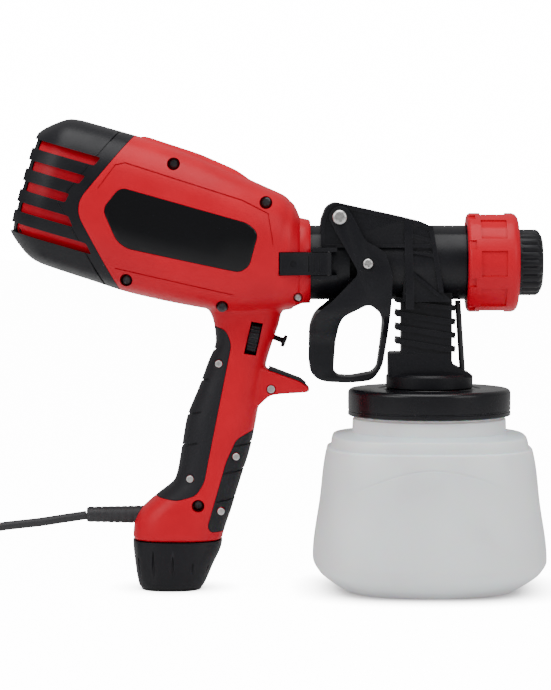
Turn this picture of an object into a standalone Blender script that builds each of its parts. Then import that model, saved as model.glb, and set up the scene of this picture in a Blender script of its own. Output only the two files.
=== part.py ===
"""Corded HVLP spray gun: turbine unit with handle, spray head with trigger, and a screw-on paint jar.

Metres, +Z up and +X the way the gun sprays. Left and right are as seen by someone who faces the nozzle,
so the left side is at negative Y. The origin is the centre of the jar's flat base, on the surface that the
gun stands on.
"""
import math

import bmesh
import bpy
from mathutils import Matrix, Vector

# ---------------------------------------------------------------- driving dimensions
GAP = 0.0003              # between pieces that touch
RUNNING = 0.00005         # radial clearance of a shaft in its bearing
WELD = 0.000002           # corners closer than this are one corner
FLAT_ANGLE = math.radians(0.02)

# duct of the spray head, which plugs into the housing's collar
SPRAY_AXIS_Z = 0.1765
DUCT_RADIUS = 0.0200
COLLAR_CLEARANCE = 0.0004

# turbine housing: stations along its tilted axis, each (along, top,
# bottom, share of the half width, exponent, lean)
BODY_TILT = math.radians(16.0)
BODY_REAR = Vector((-0.2176, 0.0, 0.2198))
BODY_HALF_WIDTH = 0.038
BODY_STATIONS = (
    (0.000, 0.0280, -0.0280, 0.70, 3.0, 0.0),
    (0.003, 0.0315, -0.0310, 0.79, 3.0, 0.0),
    (0.016, 0.0398, -0.0390, 0.98, 3.0, 0.0),
    (0.022, 0.0403, -0.0400, 1.00, 3.0, 0.0),
    (0.051, 0.0404, -0.0412, 1.00, 3.0, 0.0),
    (0.068, 0.0400, -0.0418, 1.00, 3.0, 0.0),
    (0.086, 0.0388, -0.0410, 1.00, 3.0, 0.0),
    (0.109, 0.0356, -0.0390, 0.97, 3.0, 0.0),
    (0.121, 0.0338, -0.0375, 0.92, 3.0, 0.0),
    (0.136, 0.0316, -0.0345, 0.83, 2.8, 0.0),
    (0.146, 0.0290, -0.0295, 0.75, 2.6, 0.5),
)
BODY_WALL = 0.0026
COLLAR_FACE_X = -0.0645   # front face of the housing collar
COLLAR_LENGTH = 0.0055
COLLAR_WALL = 0.0028
COLLAR_HALF = DUCT_RADIUS + COLLAR_CLEARANCE + COLLAR_WALL
COLLAR_FLARE = 0.0014      # the collar is this much wider where it meets the housing
COLLAR_UNDERCUT_Z = SPRAY_AXIS_Z - DUCT_RADIUS - 0.0015   # flat underside that the trigger swings below
RING_POINTS = 16

# handle: stations from the turbine housing down, each (height, rear x, front x, half width)
HANDLE_STATIONS = (
    (0.1660, -0.1180, -0.0790, 0.0165),
    (0.1480, -0.1180, -0.0800, 0.0165),
    (0.1345, -0.1155, -0.0845, 0.0165),
    (0.1220, -0.1200, -0.0883, 0.0165),
    (0.1096, -0.1245, -0.0907, 0.0170),
    (0.0923, -0.1313, -0.0935, 0.0180),
    (0.0756, -0.1342, -0.0970, 0.0185),
    (0.0599, -0.1375, -0.1020, 0.0190),
    (0.0510, -0.1475, -0.1047, 0.0200),
    (0.0427, -0.1565, -0.1072, 0.0210),
    (0.0346, -0.1600, -0.1100, 0.0215),
    (0.0268, -0.1604, -0.1120, 0.0218),
)
HANDLE_EXPONENT = 2.6
HANDLE_WALL = 0.0034
GRIP_THICKNESS = 0.0015
BASE_CAP_STATIONS = (
    (0.0265, -0.1604, -0.1120, 0.0218),
    (0.0120, -0.1590, -0.1175, 0.0208),
    (0.0025, -0.1572, -0.1218, 0.0188),
    (0.0000, -0.1556, -0.1236, 0.0172),
)
BASE_CAP_WALL = 0.0026

# rear cover, its slots and the grille behind it, in the housing's (along, up) plane
COVER_BORDER = ((0.0605, 0.0640), (0.0300, -0.0045), (0.0890, -0.0660))
COVER_BORDER_RADIUS = 0.010
COVER_GAP = 0.0003
SLOT_PITCH = 0.0114
SLOT_HEIGHT = 0.0050
SLOT_ENDS = (0.036, 0.031, 0.026, 0.031, 0.044)
SLOT_MIDDLE_UP = -0.0012
SLOT_DEPTH_FROM = 0.016
GRILLE_INSET = 0.0032
GRILLE_WALL = 0.0018
GRILLE_FRONT = 0.046
GRILLE_LOFT_FRONT = 0.052
GRILLE_PLATE = (0.0100, 0.0120)
FOAM_REAR = 0.0042
FOAM_HALF = (0.0204, 0.0216)

# motor and fan, turned about the housing axis
SHAFT_RADIUS = 0.0030
SHAFT_SPAN = (0.030, 0.116)
STATOR_RADIUS = 0.0270
STATOR_SPAN = (0.056, 0.088)
ROTOR_RADIUS = 0.0175
AIR_GAP = 0.0007
BEARING_RADIUS = 0.0080
BEARING_WIDTH = 0.0050
BRACKET_WALL = 0.0016
COMMUTATOR_RADIUS = 0.0110
COMMUTATOR_SPAN = (0.038, 0.050)
WINDING_OVERHANG = 0.0045
REAR_SEAT_STEP = 0.0007    # from the shaft's rear end to its bearing
FRONT_SEAT_STEP = 0.0085   # from the stator to the front bearing
BRACKET_HUB_WALL = 0.0030
BRACKET_PLATE = 0.0025
BRUSH_HALF = 0.0030
BRUSH_END_ROOM = 0.0008
FAN_RADIUS = 0.0265
FAN_SPAN = (0.1030, 0.1140)
FAN_BLADES = 9
FAN_SHROUD_RADIUS = 0.0294
FAN_SHROUD_WALL = 0.0018
RIB_THICKNESS = 0.0025
RIB_CLEARANCE = 0.0006
STATOR_RIBS = (0.060, 0.082)

# housing screws, each (x, z), and their bosses
SCREW_PLACES = ((-0.1372, 0.2295), (-0.1625, 0.1679), (-0.0883, 0.2090), (-0.1117, 0.1534), (-0.1247, 0.0464))
SCREW_HEAD_RADIUS = 0.0029
SCREW_SHANK_RADIUS = 0.0014
SCREW_RECESS_RADIUS = 0.0032
SCREW_RECESS_DEPTH = 0.0080
SCREW_HEAD_HEIGHT = 0.0020
SCREW_TIP_Y = 0.0115
BOSS_RADIUS = 0.0042
SMALL_SCREW_PLACES = (("collar_screw", -0.0712, SPRAY_AXIS_Z - DUCT_RADIUS + 0.0018),
                      ("finger_rest_screw", -0.0856, 0.1085))
SMALL_SCREW_HEAD_RADIUS = 0.0022
GRIP_SCREW_PLACES = ((-0.1137, 0.1226), (-0.1291, 0.0608), (-0.1043, 0.0728), (-0.1124, 0.0435))
GRIP_SCREW_RADIUS = 0.0019

# soft grips, each an outline in side view, anticlockwise from its low rear corner
REAR_GRIP = ((-0.1470, 0.0508), (-0.1360, 0.0492), (-0.1260, 0.0520), (-0.1215, 0.0590), (-0.1195, 0.0700),
             (-0.1070, 0.1330), (-0.1100, 0.1405), (-0.1185, 0.1430), (-0.1500, 0.1430), (-0.1600, 0.0550))
FRONT_GRIP = ((-0.1178, 0.0320), (-0.1080, 0.0320), (-0.0800, 0.0330), (-0.0800, 0.0860), (-0.0945, 0.0868),
              (-0.1040, 0.0820), (-0.1095, 0.0700), (-0.1195, 0.0350))

# finger rest in front of the handle
FINGER_REST_HALF_WIDTH = 0.011
FINGER_REST = (
    (-0.0950, 0.1215), (-0.0872, 0.1186), (-0.0699, 0.1126), (-0.0657, 0.1098), (-0.0645, 0.1084),
    (-0.0650, 0.1068), (-0.0861, 0.1053), (-0.0905, 0.1010), (-0.0960, 0.0960),
)
FINGER_PAD = ((-0.0868, 0.1202), (-0.0699, 0.1138), (-0.0666, 0.1112), (-0.0668, 0.1108), (-0.0699, 0.1129),
              (-0.0868, 0.1189))

# speed dial, switch and plunger
DIAL_CENTRE = Vector((-0.0950, -0.0102, 0.1361))
DIAL_RADIUS = 0.0083
DIAL_WIDTH = 0.0054
DIAL_TILT = math.radians(12.8)
DIAL_TEETH = 20
SWITCH_SIZE = (0.0100, 0.0130, 0.0120)
SWITCH_CENTRE = Vector((-0.1056, 0.0010, 0.1424))
PLUNGER_TILT = math.radians(21.0)
PLUNGER_HEAD = Vector((-0.0785, 0.0, 0.1340))
PLUNGER_STEM_RADIUS = 0.0015
PLUNGER_HEAD_RADIUS = 0.0033
PLUNGER_HEAD_LENGTH = 0.0020
PLUNGER_LENGTH = 0.0226
PLUNGER_TRAVEL = 0.0048
BOARD_SIZE = (0.020, 0.0016, 0.026)
BOARD_CENTRE = Vector((-0.1160, 0.0050, 0.0790))

# strain relief and mains lead
CORD_DIAMETER = 0.0048
RELIEF_HEIGHT = 0.0398
RELIEF_INNER_X = -0.1462
RELIEF_END_X = -0.1855
RELIEF_RADII = (0.0050, 0.0042)
RELIEF_FLANGE_RADIUS = 0.0060
RELIEF_FLANGE = 0.0025
CORD_ROUTE = (
    (-0.1858, 0.0000, 0.0394), (-0.1990, 0.0002, 0.0374), (-0.2110, 0.0006, 0.0355), (-0.2230, 0.0012, 0.0341),
    (-0.2340, 0.0018, 0.0326), (-0.2450, 0.0024, 0.0299), (-0.2560, 0.0030, 0.0262), (-0.2660, 0.0035, 0.0225),
    (-0.2768, 0.0039, 0.0191),
)
TAIL_ROUTE = ((-0.3224, 0.0352, 0.0219), (-0.3209, 0.0429, 0.0223), (-0.3165, 0.0493, 0.0234),
              (-0.3101, 0.0537, 0.0249), (-0.3028, 0.0552, 0.0259))
COIL_CENTRE = (-0.2960, 0.0352)
COIL_MEAN_RADIUS = 0.0264
COIL_TURNS_WIDE = 3
COIL_TURNS_HIGH = 4
PLUG_START = Vector((-0.3020, 0.0552, 0.0259))
PLUG_LENGTH = 0.0340
PLUG_HALF_SIZES = ((0.0, 0.0040, 0.0040), (0.010, 0.0070, 0.0055), (0.020, 0.0130, 0.0064), (0.034, 0.0150, 0.0064))
PIN_SPACING = 0.0190
PIN_RADIUS = 0.0020
PIN_LENGTH = 0.0180

# spray head, about its spray axis
DUCT_BORE = 0.0160
SPIGOT_REAR_X = -0.0800
BARREL_FRONT_X = 0.0194
NOSE_FRONT_X = 0.0392
NOSE_RADIUS = DUCT_RADIUS - 0.0004
YOKE_STEP = 0.0003         # the yoke's sides stand this far out of the duct
YOKE_HALF_WIDTH = DUCT_RADIUS + YOKE_STEP
YOKE = ((-0.0591, 0.1850), (-0.0591, 0.1990), (-0.0560, 0.2068), (-0.0515, 0.2092), (-0.0159, 0.2014),
        (-0.0040, 0.1985), (0.0010, 0.1950), (0.0016, 0.1850))
STEM_X = (-0.0154, 0.0116)
STEM_HALF_WIDTH = 0.0120
STEM_RIBS = 4
STEM_RIB_PITCH = 0.0086
STEM_RIB_THICKNESS = 0.0046
STEM_RIB_OVERHANG = 0.0032
STEM_RIB_SLOPE = math.radians(9.0)
STEM_RIB_PROUD = 0.0012
STEM_FIRST_RIB = -0.0025    # above the top of the collar block
COLLAR_DISC_RADIUS = 0.0235
COLLAR_DISC = (0.1088, 0.1180)
COLLAR_BLOCK_TOP = 0.1280
COLLAR_BLOCK_X = (-0.0222, 0.0126)
COLLAR_BLOCK_HALF_WIDTH = 0.0126
FLUID_TUBE_RADIUS = 0.0060
FLUID_BORE = 0.0028
FLUID_TUBE_REAR_X = -0.0200
RAIL_X = (-0.0635, -0.0505)
RAIL_HALF_HEIGHT = 0.0022
SPRING_SEAT_X = -0.0600
SPRING_SEAT_THICKNESS = 0.0020
SPRING_SEAT_HALF_HEIGHT = 0.0045
WEB_X = (0.010, 0.036)     # web that holds the paint way inside the barrel
WEB_HALF_THICKNESS = 0.0012
LINK_SLOT_Y = (0.008, 0.030)
LINK_SLOT_Z = (-0.0080, 0.0032)   # below and above the link pin
LINK_SLOT_ROOM = 0.004

# catch that locks the spray head to the housing
CATCH_Z = (0.1706, 0.1825)
CATCH_FLOOR_Y = -COLLAR_HALF + 0.0003
CATCH_PIVOT = Vector((-0.0550, CATCH_FLOOR_Y - 0.0011, SPRAY_AXIS_Z))
RAIL_Y = CATCH_FLOOR_Y - 0.0033
CATCH_OUTLINE = (
    (-0.0810, CATCH_FLOOR_Y), (-0.0550, CATCH_FLOOR_Y), (-0.0532, CATCH_FLOOR_Y - 0.0007),
    (-0.0532, CATCH_FLOOR_Y - 0.0029), (-0.0560, CATCH_FLOOR_Y - 0.0039), (-0.0640, CATCH_FLOOR_Y - 0.0039),
    (-0.0810, CATCH_FLOOR_Y - 0.0071),
)
CATCH_PIN_RADIUS = 0.0008

# trigger
TRIGGER_PIVOT = Vector((-0.0491, 0.0, 0.2012))
LINK_PIN = Vector((-0.0340, 0.0, SPRAY_AXIS_Z))
TRIGGER_ARM_CLEARANCE = 0.0006
TRIGGER_ARM_INNER = YOKE_HALF_WIDTH + TRIGGER_ARM_CLEARANCE
TRIGGER_ARM_THICKNESS = 0.0031
TRIGGER_LOOP_HALF = 0.0120
TRIGGER_TAPER = (0.1360, 0.1495)
TRIGGER_BRIDGE_TOP = 0.1500
TRIGGER_ROOM_REAR_X = -0.0770   # the housing is cut away under its collar from here forward
TRIGGER_ROOM_BOTTOM_Z = 0.1420
TRIGGER_OUTLINE = (
    (-0.0553, 0.2020), (-0.0516, 0.2070), (-0.0455, 0.2070), (-0.0419, 0.2014), (-0.0354, 0.1885),
    (-0.0251, 0.1831), (-0.0208, 0.1712), (-0.0213, 0.1561), (-0.0230, 0.1372), (-0.0257, 0.1210),
    (-0.0310, 0.1134), (-0.0429, 0.1121), (-0.0560, 0.1126), (-0.0610, 0.1142), (-0.0645, 0.1180),
    (-0.0654, 0.1240), (-0.0650, 0.1420), (-0.0620, 0.1492), (-0.0535, 0.1558), (-0.0386, 0.1712),
    (-0.0525, 0.1960),
)
TRIGGER_OPENING = (
    (-0.0521, 0.1190), (-0.0510, 0.1345), (-0.0490, 0.1440), (-0.0467, 0.1482), (-0.0332, 0.1550),
    (-0.0267, 0.1496), (-0.0251, 0.1450), (-0.0284, 0.1204), (-0.0311, 0.1172), (-0.0429, 0.1150),
    (-0.0500, 0.1156),
)
PIVOT_PIN_RADIUS = 0.0020
PIVOT_HEAD_RADIUS = 0.0038
LINK_PIN_RADIUS = 0.0018
LINK_HEAD_RADIUS = 0.0028
PIN_CLEARANCE = 0.0003
PIN_HEAD = 0.0016

# needle and its spring
NEEDLE_RADIUS = 0.0015
NEEDLE_TIP_X = 0.0585
CARRIER_X = (-0.0385, -0.0295)
CARRIER_HALF_WIDTH = 0.0050
CARRIER_Z = (0.1675, 0.1815)
CARRIER_SLOT_BOTTOM = 0.1695
CARRIER_SLOT_CLEARANCE = 0.0006
SPRING_RADIUS = 0.0042
SPRING_WIRE = 0.0005
SPRING_TURNS = 5
NEEDLE_TRAVEL = 0.0056

# nozzle end
RING_NUT_X = (0.0197, 0.0473)
RING_NUT_BORE = DUCT_RADIUS + 0.0006
RING_NUT_WALL = 0.0061
RING_NUT_RADIUS = RING_NUT_BORE + RING_NUT_WALL
RING_NUT_LIP = 0.0033
AIR_CAP_FRONT_X = 0.0605
AIR_CAP_RADIUS = 0.0178
AIR_CAP_FLANGE = 0.0030
AIR_CAP_FLUTES = 24
AIR_HOLE_RADIUS = 0.0040
NOZZLE_TIP_RADIUS = 0.0031

# lid, jar and what hangs in it
LID_RADIUS = 0.0440
LID_Z = (0.0940, 0.1085)
LID_WALL = 0.0025
LID_HOLE_CLEARANCE = 0.0004
THREAD_ROOM = 0.0015
NECK_RADIUS = LID_RADIUS - LID_WALL - THREAD_ROOM
JAR_STATIONS = (
    (0.0000, 0.0460, 2.4), (0.0020, 0.0490, 2.5), (0.0060, 0.0545, 2.8), (0.0110, 0.0600, 3.0),
    (0.0170, 0.0630, 3.0), (0.0480, 0.0592, 3.0), (0.0765, 0.0552, 3.0), (0.0772, 0.0530, 3.0),
    (0.0785, 0.0530, 3.0), (0.0830, 0.0520, 3.0), (0.0846, NECK_RADIUS + 0.0040, 2.4),
    (0.0850, NECK_RADIUS + 0.0018, 2.0), (0.0925, NECK_RADIUS + 0.0014, 2.0), (0.0930, NECK_RADIUS, 2.0),
    (0.1036, NECK_RADIUS, 2.0),
)
JAR_WALL = 0.0020
JAR_MOUTH_WALL = 0.0026
JAR_POINTS = 28
GASKET_HEIGHT = 0.0014
GASKET_WIDTH = 0.0060
PICKUP_RADIUS = 0.0040
PICKUP_BORE = 0.0026
PICKUP_BOTTOM_Z = 0.0060
PICKUP_TOP_Z = 0.1040
SPIGOT_RADIUS = 0.0116
LID_HOLE = SPIGOT_RADIUS + LID_HOLE_CLEARANCE
SPIGOT_BOTTOM_Z = 0.0980
PRESSURE_TUBE_RADIUS = 0.0016
PRESSURE_TUBE = (Vector((0.0152, 0.0, 0.1560)), Vector((0.0178, 0.0, 0.1184)))

# name plates, in the housing's (along, up) plane
PLATE_OUTLINE = ((0.0456, -0.0016), (0.0513, 0.0118), (0.1215, 0.0120), (0.1277, 0.0085), (0.1279, -0.0095),
                 (0.1239, -0.0139), (0.0634, -0.0180), (0.0570, -0.0155))
PLATE_THICKNESS = 0.0010

X_AXIS = Vector((1.0, 0.0, 0.0))
Y_AXIS = Vector((0.0, 1.0, 0.0))
Z_AXIS = Vector((0.0, 0.0, 1.0))
BODY_ALONG = Vector((math.cos(BODY_TILT), 0.0, -math.sin(BODY_TILT)))
BODY_UP = Vector((math.sin(BODY_TILT), 0.0, math.cos(BODY_TILT)))
FAR = 0.5                 # cutters reach this far past what they cut


# ---------------------------------------------------------------- shared modelling functions
def material(name, colour, roughness, metallic=0.0, alpha=1.0):
    made = bpy.data.materials.new(name)
    made.use_nodes = True
    shader = made.node_tree.nodes["Principled BSDF"]
    shader.inputs["Base Color"].default_value = (*colour, 1.0)
    shader.inputs["Roughness"].default_value = roughness
    shader.inputs["Metallic"].default_value = metallic
    shader.inputs["Alpha"].default_value = alpha
    return made


def new_object(name, mesh_builder):
    """Turn a bmesh into an object of triangles that point out."""
    bmesh.ops.recalc_face_normals(mesh_builder, faces=mesh_builder.faces)
    bmesh.ops.triangulate(mesh_builder, faces=mesh_builder.faces)
    mesh = bpy.data.meshes.new(name)
    mesh_builder.to_mesh(mesh)
    mesh_builder.free()
    made = bpy.data.objects.new(name, mesh)
    bpy.context.scene.collection.objects.link(made)
    return made


def finish(piece, name, finish_material, origin=None):
    """Name a piece, give it its material and put its origin on its joint's axis."""
    piece.name = name
    piece.data.name = name
    piece.data.materials.clear()
    piece.data.materials.append(finish_material)
    if piece.type == "MESH":
        piece.data.shade_smooth()
        piece.data.set_sharp_from_angle(angle=math.radians(35.0))
    if origin is not None:
        piece.data.transform(Matrix.Translation(-origin))
        piece.location = origin
    return piece


def tidy_mesh(mesh):
    """Weld the corners that a Boolean leaves side by side, and cut its faces into triangles."""
    builder = bmesh.new()
    builder.from_mesh(mesh)
    bmesh.ops.remove_doubles(builder, verts=builder.verts, dist=WELD)
    bmesh.ops.dissolve_degenerate(builder, edges=builder.edges, dist=WELD)
    bmesh.ops.dissolve_limit(builder, angle_limit=FLAT_ANGLE, verts=builder.verts, edges=builder.edges)
    bmesh.ops.triangulate(builder, faces=builder.faces)
    builder.to_mesh(mesh)
    builder.free()
    return mesh


def boolean(target, cutter, operation):
    """Apply one exact Boolean and remove the cutter."""
    step = target.modifiers.new("shape", "BOOLEAN")
    step.operation = operation
    step.object = cutter
    step.solver = "EXACT"
    evaluated = target.evaluated_get(bpy.context.evaluated_depsgraph_get())
    result = bpy.data.meshes.new_from_object(evaluated)
    target.modifiers.clear()
    target.data = tidy_mesh(result)
    bpy.data.objects.remove(cutter, do_unlink=True)
    return target


def cut(target, *cutters):
    for cutter in cutters:
        boolean(target, cutter, "DIFFERENCE")
    return target


def join(target, *others):
    for other in others:
        boolean(target, other, "UNION")
    return target


def keep(target, region):
    return boolean(target, region, "INTERSECT")


def copy_of(piece):
    twin = piece.copy()
    twin.data = piece.data.copy()
    bpy.context.scene.collection.objects.link(twin)
    return twin


def ring(centre, across, up, half_width, half_height, exponent, count):
    """Points of a superellipse, an ellipse at exponent 2 and nearly a rounded rectangle at 3."""
    points = []
    for step in range(count):
        angle = 2.0 * math.pi * step / count
        cosine, sine = math.cos(angle), math.sin(angle)
        sideways = math.copysign(abs(cosine) ** (2.0 / exponent), cosine)
        upward = math.copysign(abs(sine) ** (2.0 / exponent), sine)
        points.append(centre + across * (half_width * sideways) + up * (half_height * upward))
    return points


def loft(rings, closed=False):
    """Skin rings of equally many points; the ends are capped unless the rings join up."""
    builder = bmesh.new()
    rows = [[builder.verts.new(point) for point in points] for points in rings]
    count = len(rows[0])
    pairs = list(zip(rows, rows[1:]))
    if closed:
        pairs.append((rows[-1], rows[0]))
    for lower, upper in pairs:
        for step in range(count):
            following = (step + 1) % count
            builder.faces.new((lower[step], lower[following], upper[following], upper[step]))
    if not closed:
        builder.faces.new(rows[0])
        builder.faces.new(rows[-1])
    return new_object("loft", builder)


def turned(profile, base, axis, segments=18):
    """Turn a closed profile of (along, radius) points about an axis."""
    across = Y_AXIS if abs(axis.dot(Y_AXIS)) < 0.5 else X_AXIS
    up = axis.cross(across).normalized()
    across = up.cross(axis).normalized()
    builder = bmesh.new()
    rows = []
    for along, radius in profile:
        centre = base + axis * along
        if radius < 1e-7:
            rows.append([builder.verts.new(centre)])
        else:
            rows.append([builder.verts.new(point)
                         for point in ring(centre, across, up, radius, radius, 2.0, segments)])
    for first, second in zip(rows, rows[1:] + rows[:1]):
        for step in range(segments):
            following = (step + 1) % segments
            corners = [first[step % len(first)], first[following % len(first)],
                       second[following % len(second)], second[step % len(second)]]
            distinct = list(dict.fromkeys(corners))
            if len(distinct) > 2:
                builder.faces.new(distinct)
    return new_object("turned", builder)


def cylinder(start, end, radius, segments=16):
    """A plain round bar from one point to another."""
    axis = (end - start)
    length = axis.length
    return turned(((0.0, 0.0), (0.0, radius), (length, radius), (length, 0.0)), start, axis.normalized(), segments)


def across_bar(x, z, radius, y_from, y_to, segments=12):
    return cylinder(Vector((x, y_from, z)), Vector((x, y_to, z)), radius, segments)


def block(low, high):
    builder = bmesh.new()
    bmesh.ops.create_cube(builder, size=1.0)
    low, high = Vector(low), Vector(high)
    size = high - low
    for vert in builder.verts:
        vert.co = Vector(((vert.co.x + 0.5) * size.x, (vert.co.y + 0.5) * size.y, (vert.co.z + 0.5) * size.z)) + low
    return new_object("block", builder)


def slab(outline, low, high, place, half_width_at=None):
    """Extrude an outline between two distances; place turns (a, b, distance) into a point."""
    builder = bmesh.new()
    layers = []
    for side, distance in ((-1, low), (1, high)):
        verts = []
        for first, second in outline:
            reach = distance if half_width_at is None else side * half_width_at(second)
            verts.append(builder.verts.new(place(first, second, reach)))
        layers.append(verts)
    count = len(outline)
    for step in range(count):
        following = (step + 1) % count
        builder.faces.new((layers[0][step], layers[0][following], layers[1][following], layers[1][step]))
    for verts in layers:
        edges = [builder.edges.get((verts[step], verts[(step + 1) % count])) for step in range(count)]
        bmesh.ops.triangle_fill(builder, use_beauty=True, use_dissolve=False, edges=edges)
    return new_object("slab", builder)


def upright(x, z, y):
    """Place for an outline drawn in the gun's side view."""
    return Vector((x, y, z))


def on_body(along, up, side=0.0):
    """A point given along and above the housing's tilted axis."""
    return BODY_REAR + BODY_ALONG * along + BODY_UP * up + Y_AXIS * side


def flat(x, y, z):
    """Place for an outline drawn in plan."""
    return Vector((x, y, z))


def rounded(outline, radius, steps=6):
    """Replace the middle corner of an open three-point outline by an arc."""
    before, apex, after = (Vector(point) for point in outline)
    to_before, to_after = (before - apex).normalized(), (after - apex).normalized()
    half = to_before.angle(to_after) / 2.0
    middle = apex + (to_before + to_after).normalized() * (radius / math.sin(half))
    start = apex + to_before * (radius / math.tan(half)) - middle
    end = apex + to_after * (radius / math.tan(half)) - middle
    turn = start.angle_signed(end)
    points = [before]
    for step in range(steps + 1):
        angle = -turn * step / steps
        points.append(middle + Matrix.Rotation(angle, 2) @ start)
    points.append(after)
    return points


def grown(outline, distance):
    """Move every corner of a convex outline out by a distance."""
    points = [Vector(point) for point in outline]
    centre = sum(points, Vector((0.0, 0.0))) / len(points)
    moved = []
    for step, point in enumerate(points):
        before, after = points[step - 1], points[(step + 1) % len(points)]
        normals = []
        for first, second in ((before, point), (point, after)):
            edge = (second - first).normalized()
            normal = Vector((edge.y, -edge.x))
            if normal.dot((first + second) / 2.0 - centre) < 0.0:
                normal = -normal
            normals.append(normal)
        mean = (normals[0] + normals[1]).normalized()
        moved.append(point + mean * (distance / mean.dot(normals[0])))
    return moved


def smooth_path(points, per_span):
    """Catmull-Rom points through a hand-chosen route."""
    route = [Vector(point) for point in points]
    padded = [route[0] * 2.0 - route[1]] + route + [route[-1] * 2.0 - route[-2]]
    path = []
    for index in range(1, len(padded) - 2):
        before, start, end, after = padded[index - 1:index + 3]
        for step in range(per_span):
            t = step / per_span
            path.append(0.5 * (2.0 * start + (end - before) * t
                               + (2.0 * before - 5.0 * start + 4.0 * end - after) * t * t
                               + (3.0 * start - before - 3.0 * end + after) * t ** 3))
    path.append(route[-1])
    return path


def tube_along(path, radius, resolution):
    curve = bpy.data.curves.new("tube", "CURVE")
    curve.dimensions = "3D"
    curve.bevel_depth = radius
    curve.bevel_resolution = resolution
    curve.use_fill_caps = True
    spline = curve.splines.new("POLY")
    spline.points.add(len(path) - 1)
    for point, position in zip(spline.points, path):
        point.co = (*position, 1.0)
    made = bpy.data.objects.new("tube", curve)
    bpy.context.scene.collection.objects.link(made)
    return made


# ---------------------------------------------------------------- housing shapes
def collar_ring(x, half, exponent):
    return ring(Vector((x, 0.0, SPRAY_AXIS_Z)), Y_AXIS, Z_AXIS, half, half, exponent, RING_POINTS)


def body_rings(inset, front=FAR):
    """Sections of the turbine housing, moved in by an inset, as far along as a front limit."""
    rings = []
    for number, (along, top, bottom, width_share, exponent, lean) in enumerate(BODY_STATIONS):
        inside_edge_rounding = inset > 0.0 and number == 1
        if inside_edge_rounding or along > front:
            continue
        up = (BODY_UP * (1.0 - lean) + Z_AXIS * lean).normalized()
        rings.append(ring(on_body(max(along, inset), (top + bottom) / 2.0), Y_AXIS, up,
                          BODY_HALF_WIDTH * width_share - inset, (top - bottom) / 2.0 - inset, exponent, RING_POINTS))
    return rings


def body_solid(inset, front_reach=0.0):
    """The turbine housing's outer form, or its cavity when inset."""
    rings = body_rings(inset)
    bore = DUCT_RADIUS + COLLAR_CLEARANCE
    if inset > 0.0:
        rings.append(collar_ring(COLLAR_FACE_X - COLLAR_LENGTH - BODY_WALL, bore, 2.0))
        rings.append(collar_ring(COLLAR_FACE_X + front_reach, bore, 2.0))
        duct_room = loft([collar_ring(SPIGOT_REAR_X - COLLAR_CLEARANCE, bore, 2.0), rings[-2]])
        return join(loft(rings), duct_room)
    else:
        rings.append(collar_ring(COLLAR_FACE_X - COLLAR_LENGTH, COLLAR_HALF + COLLAR_FLARE, 2.5))
        rings.append(collar_ring(COLLAR_FACE_X, COLLAR_HALF, 2.4))
    return loft(rings)


def handle_rings(stations, inset):
    rings = []
    for height, rear, front, half_width in stations:
        centre = Vector(((rear + front) / 2.0, 0.0, height))
        rings.append(ring(centre, X_AXIS, Y_AXIS, (front - rear) / 2.0 - inset, half_width - inset,
                          HANDLE_EXPONENT, RING_POINTS))
    return rings


def handle_solid(inset, bottom_reach=0.0):
    rings = handle_rings(HANDLE_STATIONS, inset)
    if bottom_reach > 0.0:
        rings.append([point - Z_AXIS * bottom_reach for point in rings[-1]])
    return loft(rings)


def border_outline(shift):
    """Outline of everything behind the rear cover's border, moved forward by a shift."""
    border = rounded(COVER_BORDER, COVER_BORDER_RADIUS)
    points = [(point.x + shift, point.y) for point in border]
    return [(-0.05, COVER_BORDER[0][1])] + points + [(-0.05, COVER_BORDER[2][1])]


def side_of_housing(x, z):
    """Half the housing's width where a screw sits: the turbine part or the handle."""
    if z > 0.150:
        offset = Vector((x, 0.0, z)) - BODY_REAR
        along, up = offset.dot(BODY_ALONG), offset.dot(BODY_UP)
        stations = [station for station in BODY_STATIONS if station[0] <= along]
        _, top, bottom, share, exponent, _ = stations[-1]
        middle, half = (top + bottom) / 2.0, (top - bottom) / 2.0
        rise = min(abs(up - middle) / half, 0.97)
        return BODY_HALF_WIDTH * share * (1.0 - rise ** exponent) ** (1.0 / exponent)
    stations = [station for station in HANDLE_STATIONS if station[0] >= z]
    return stations[-1][3]


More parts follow.
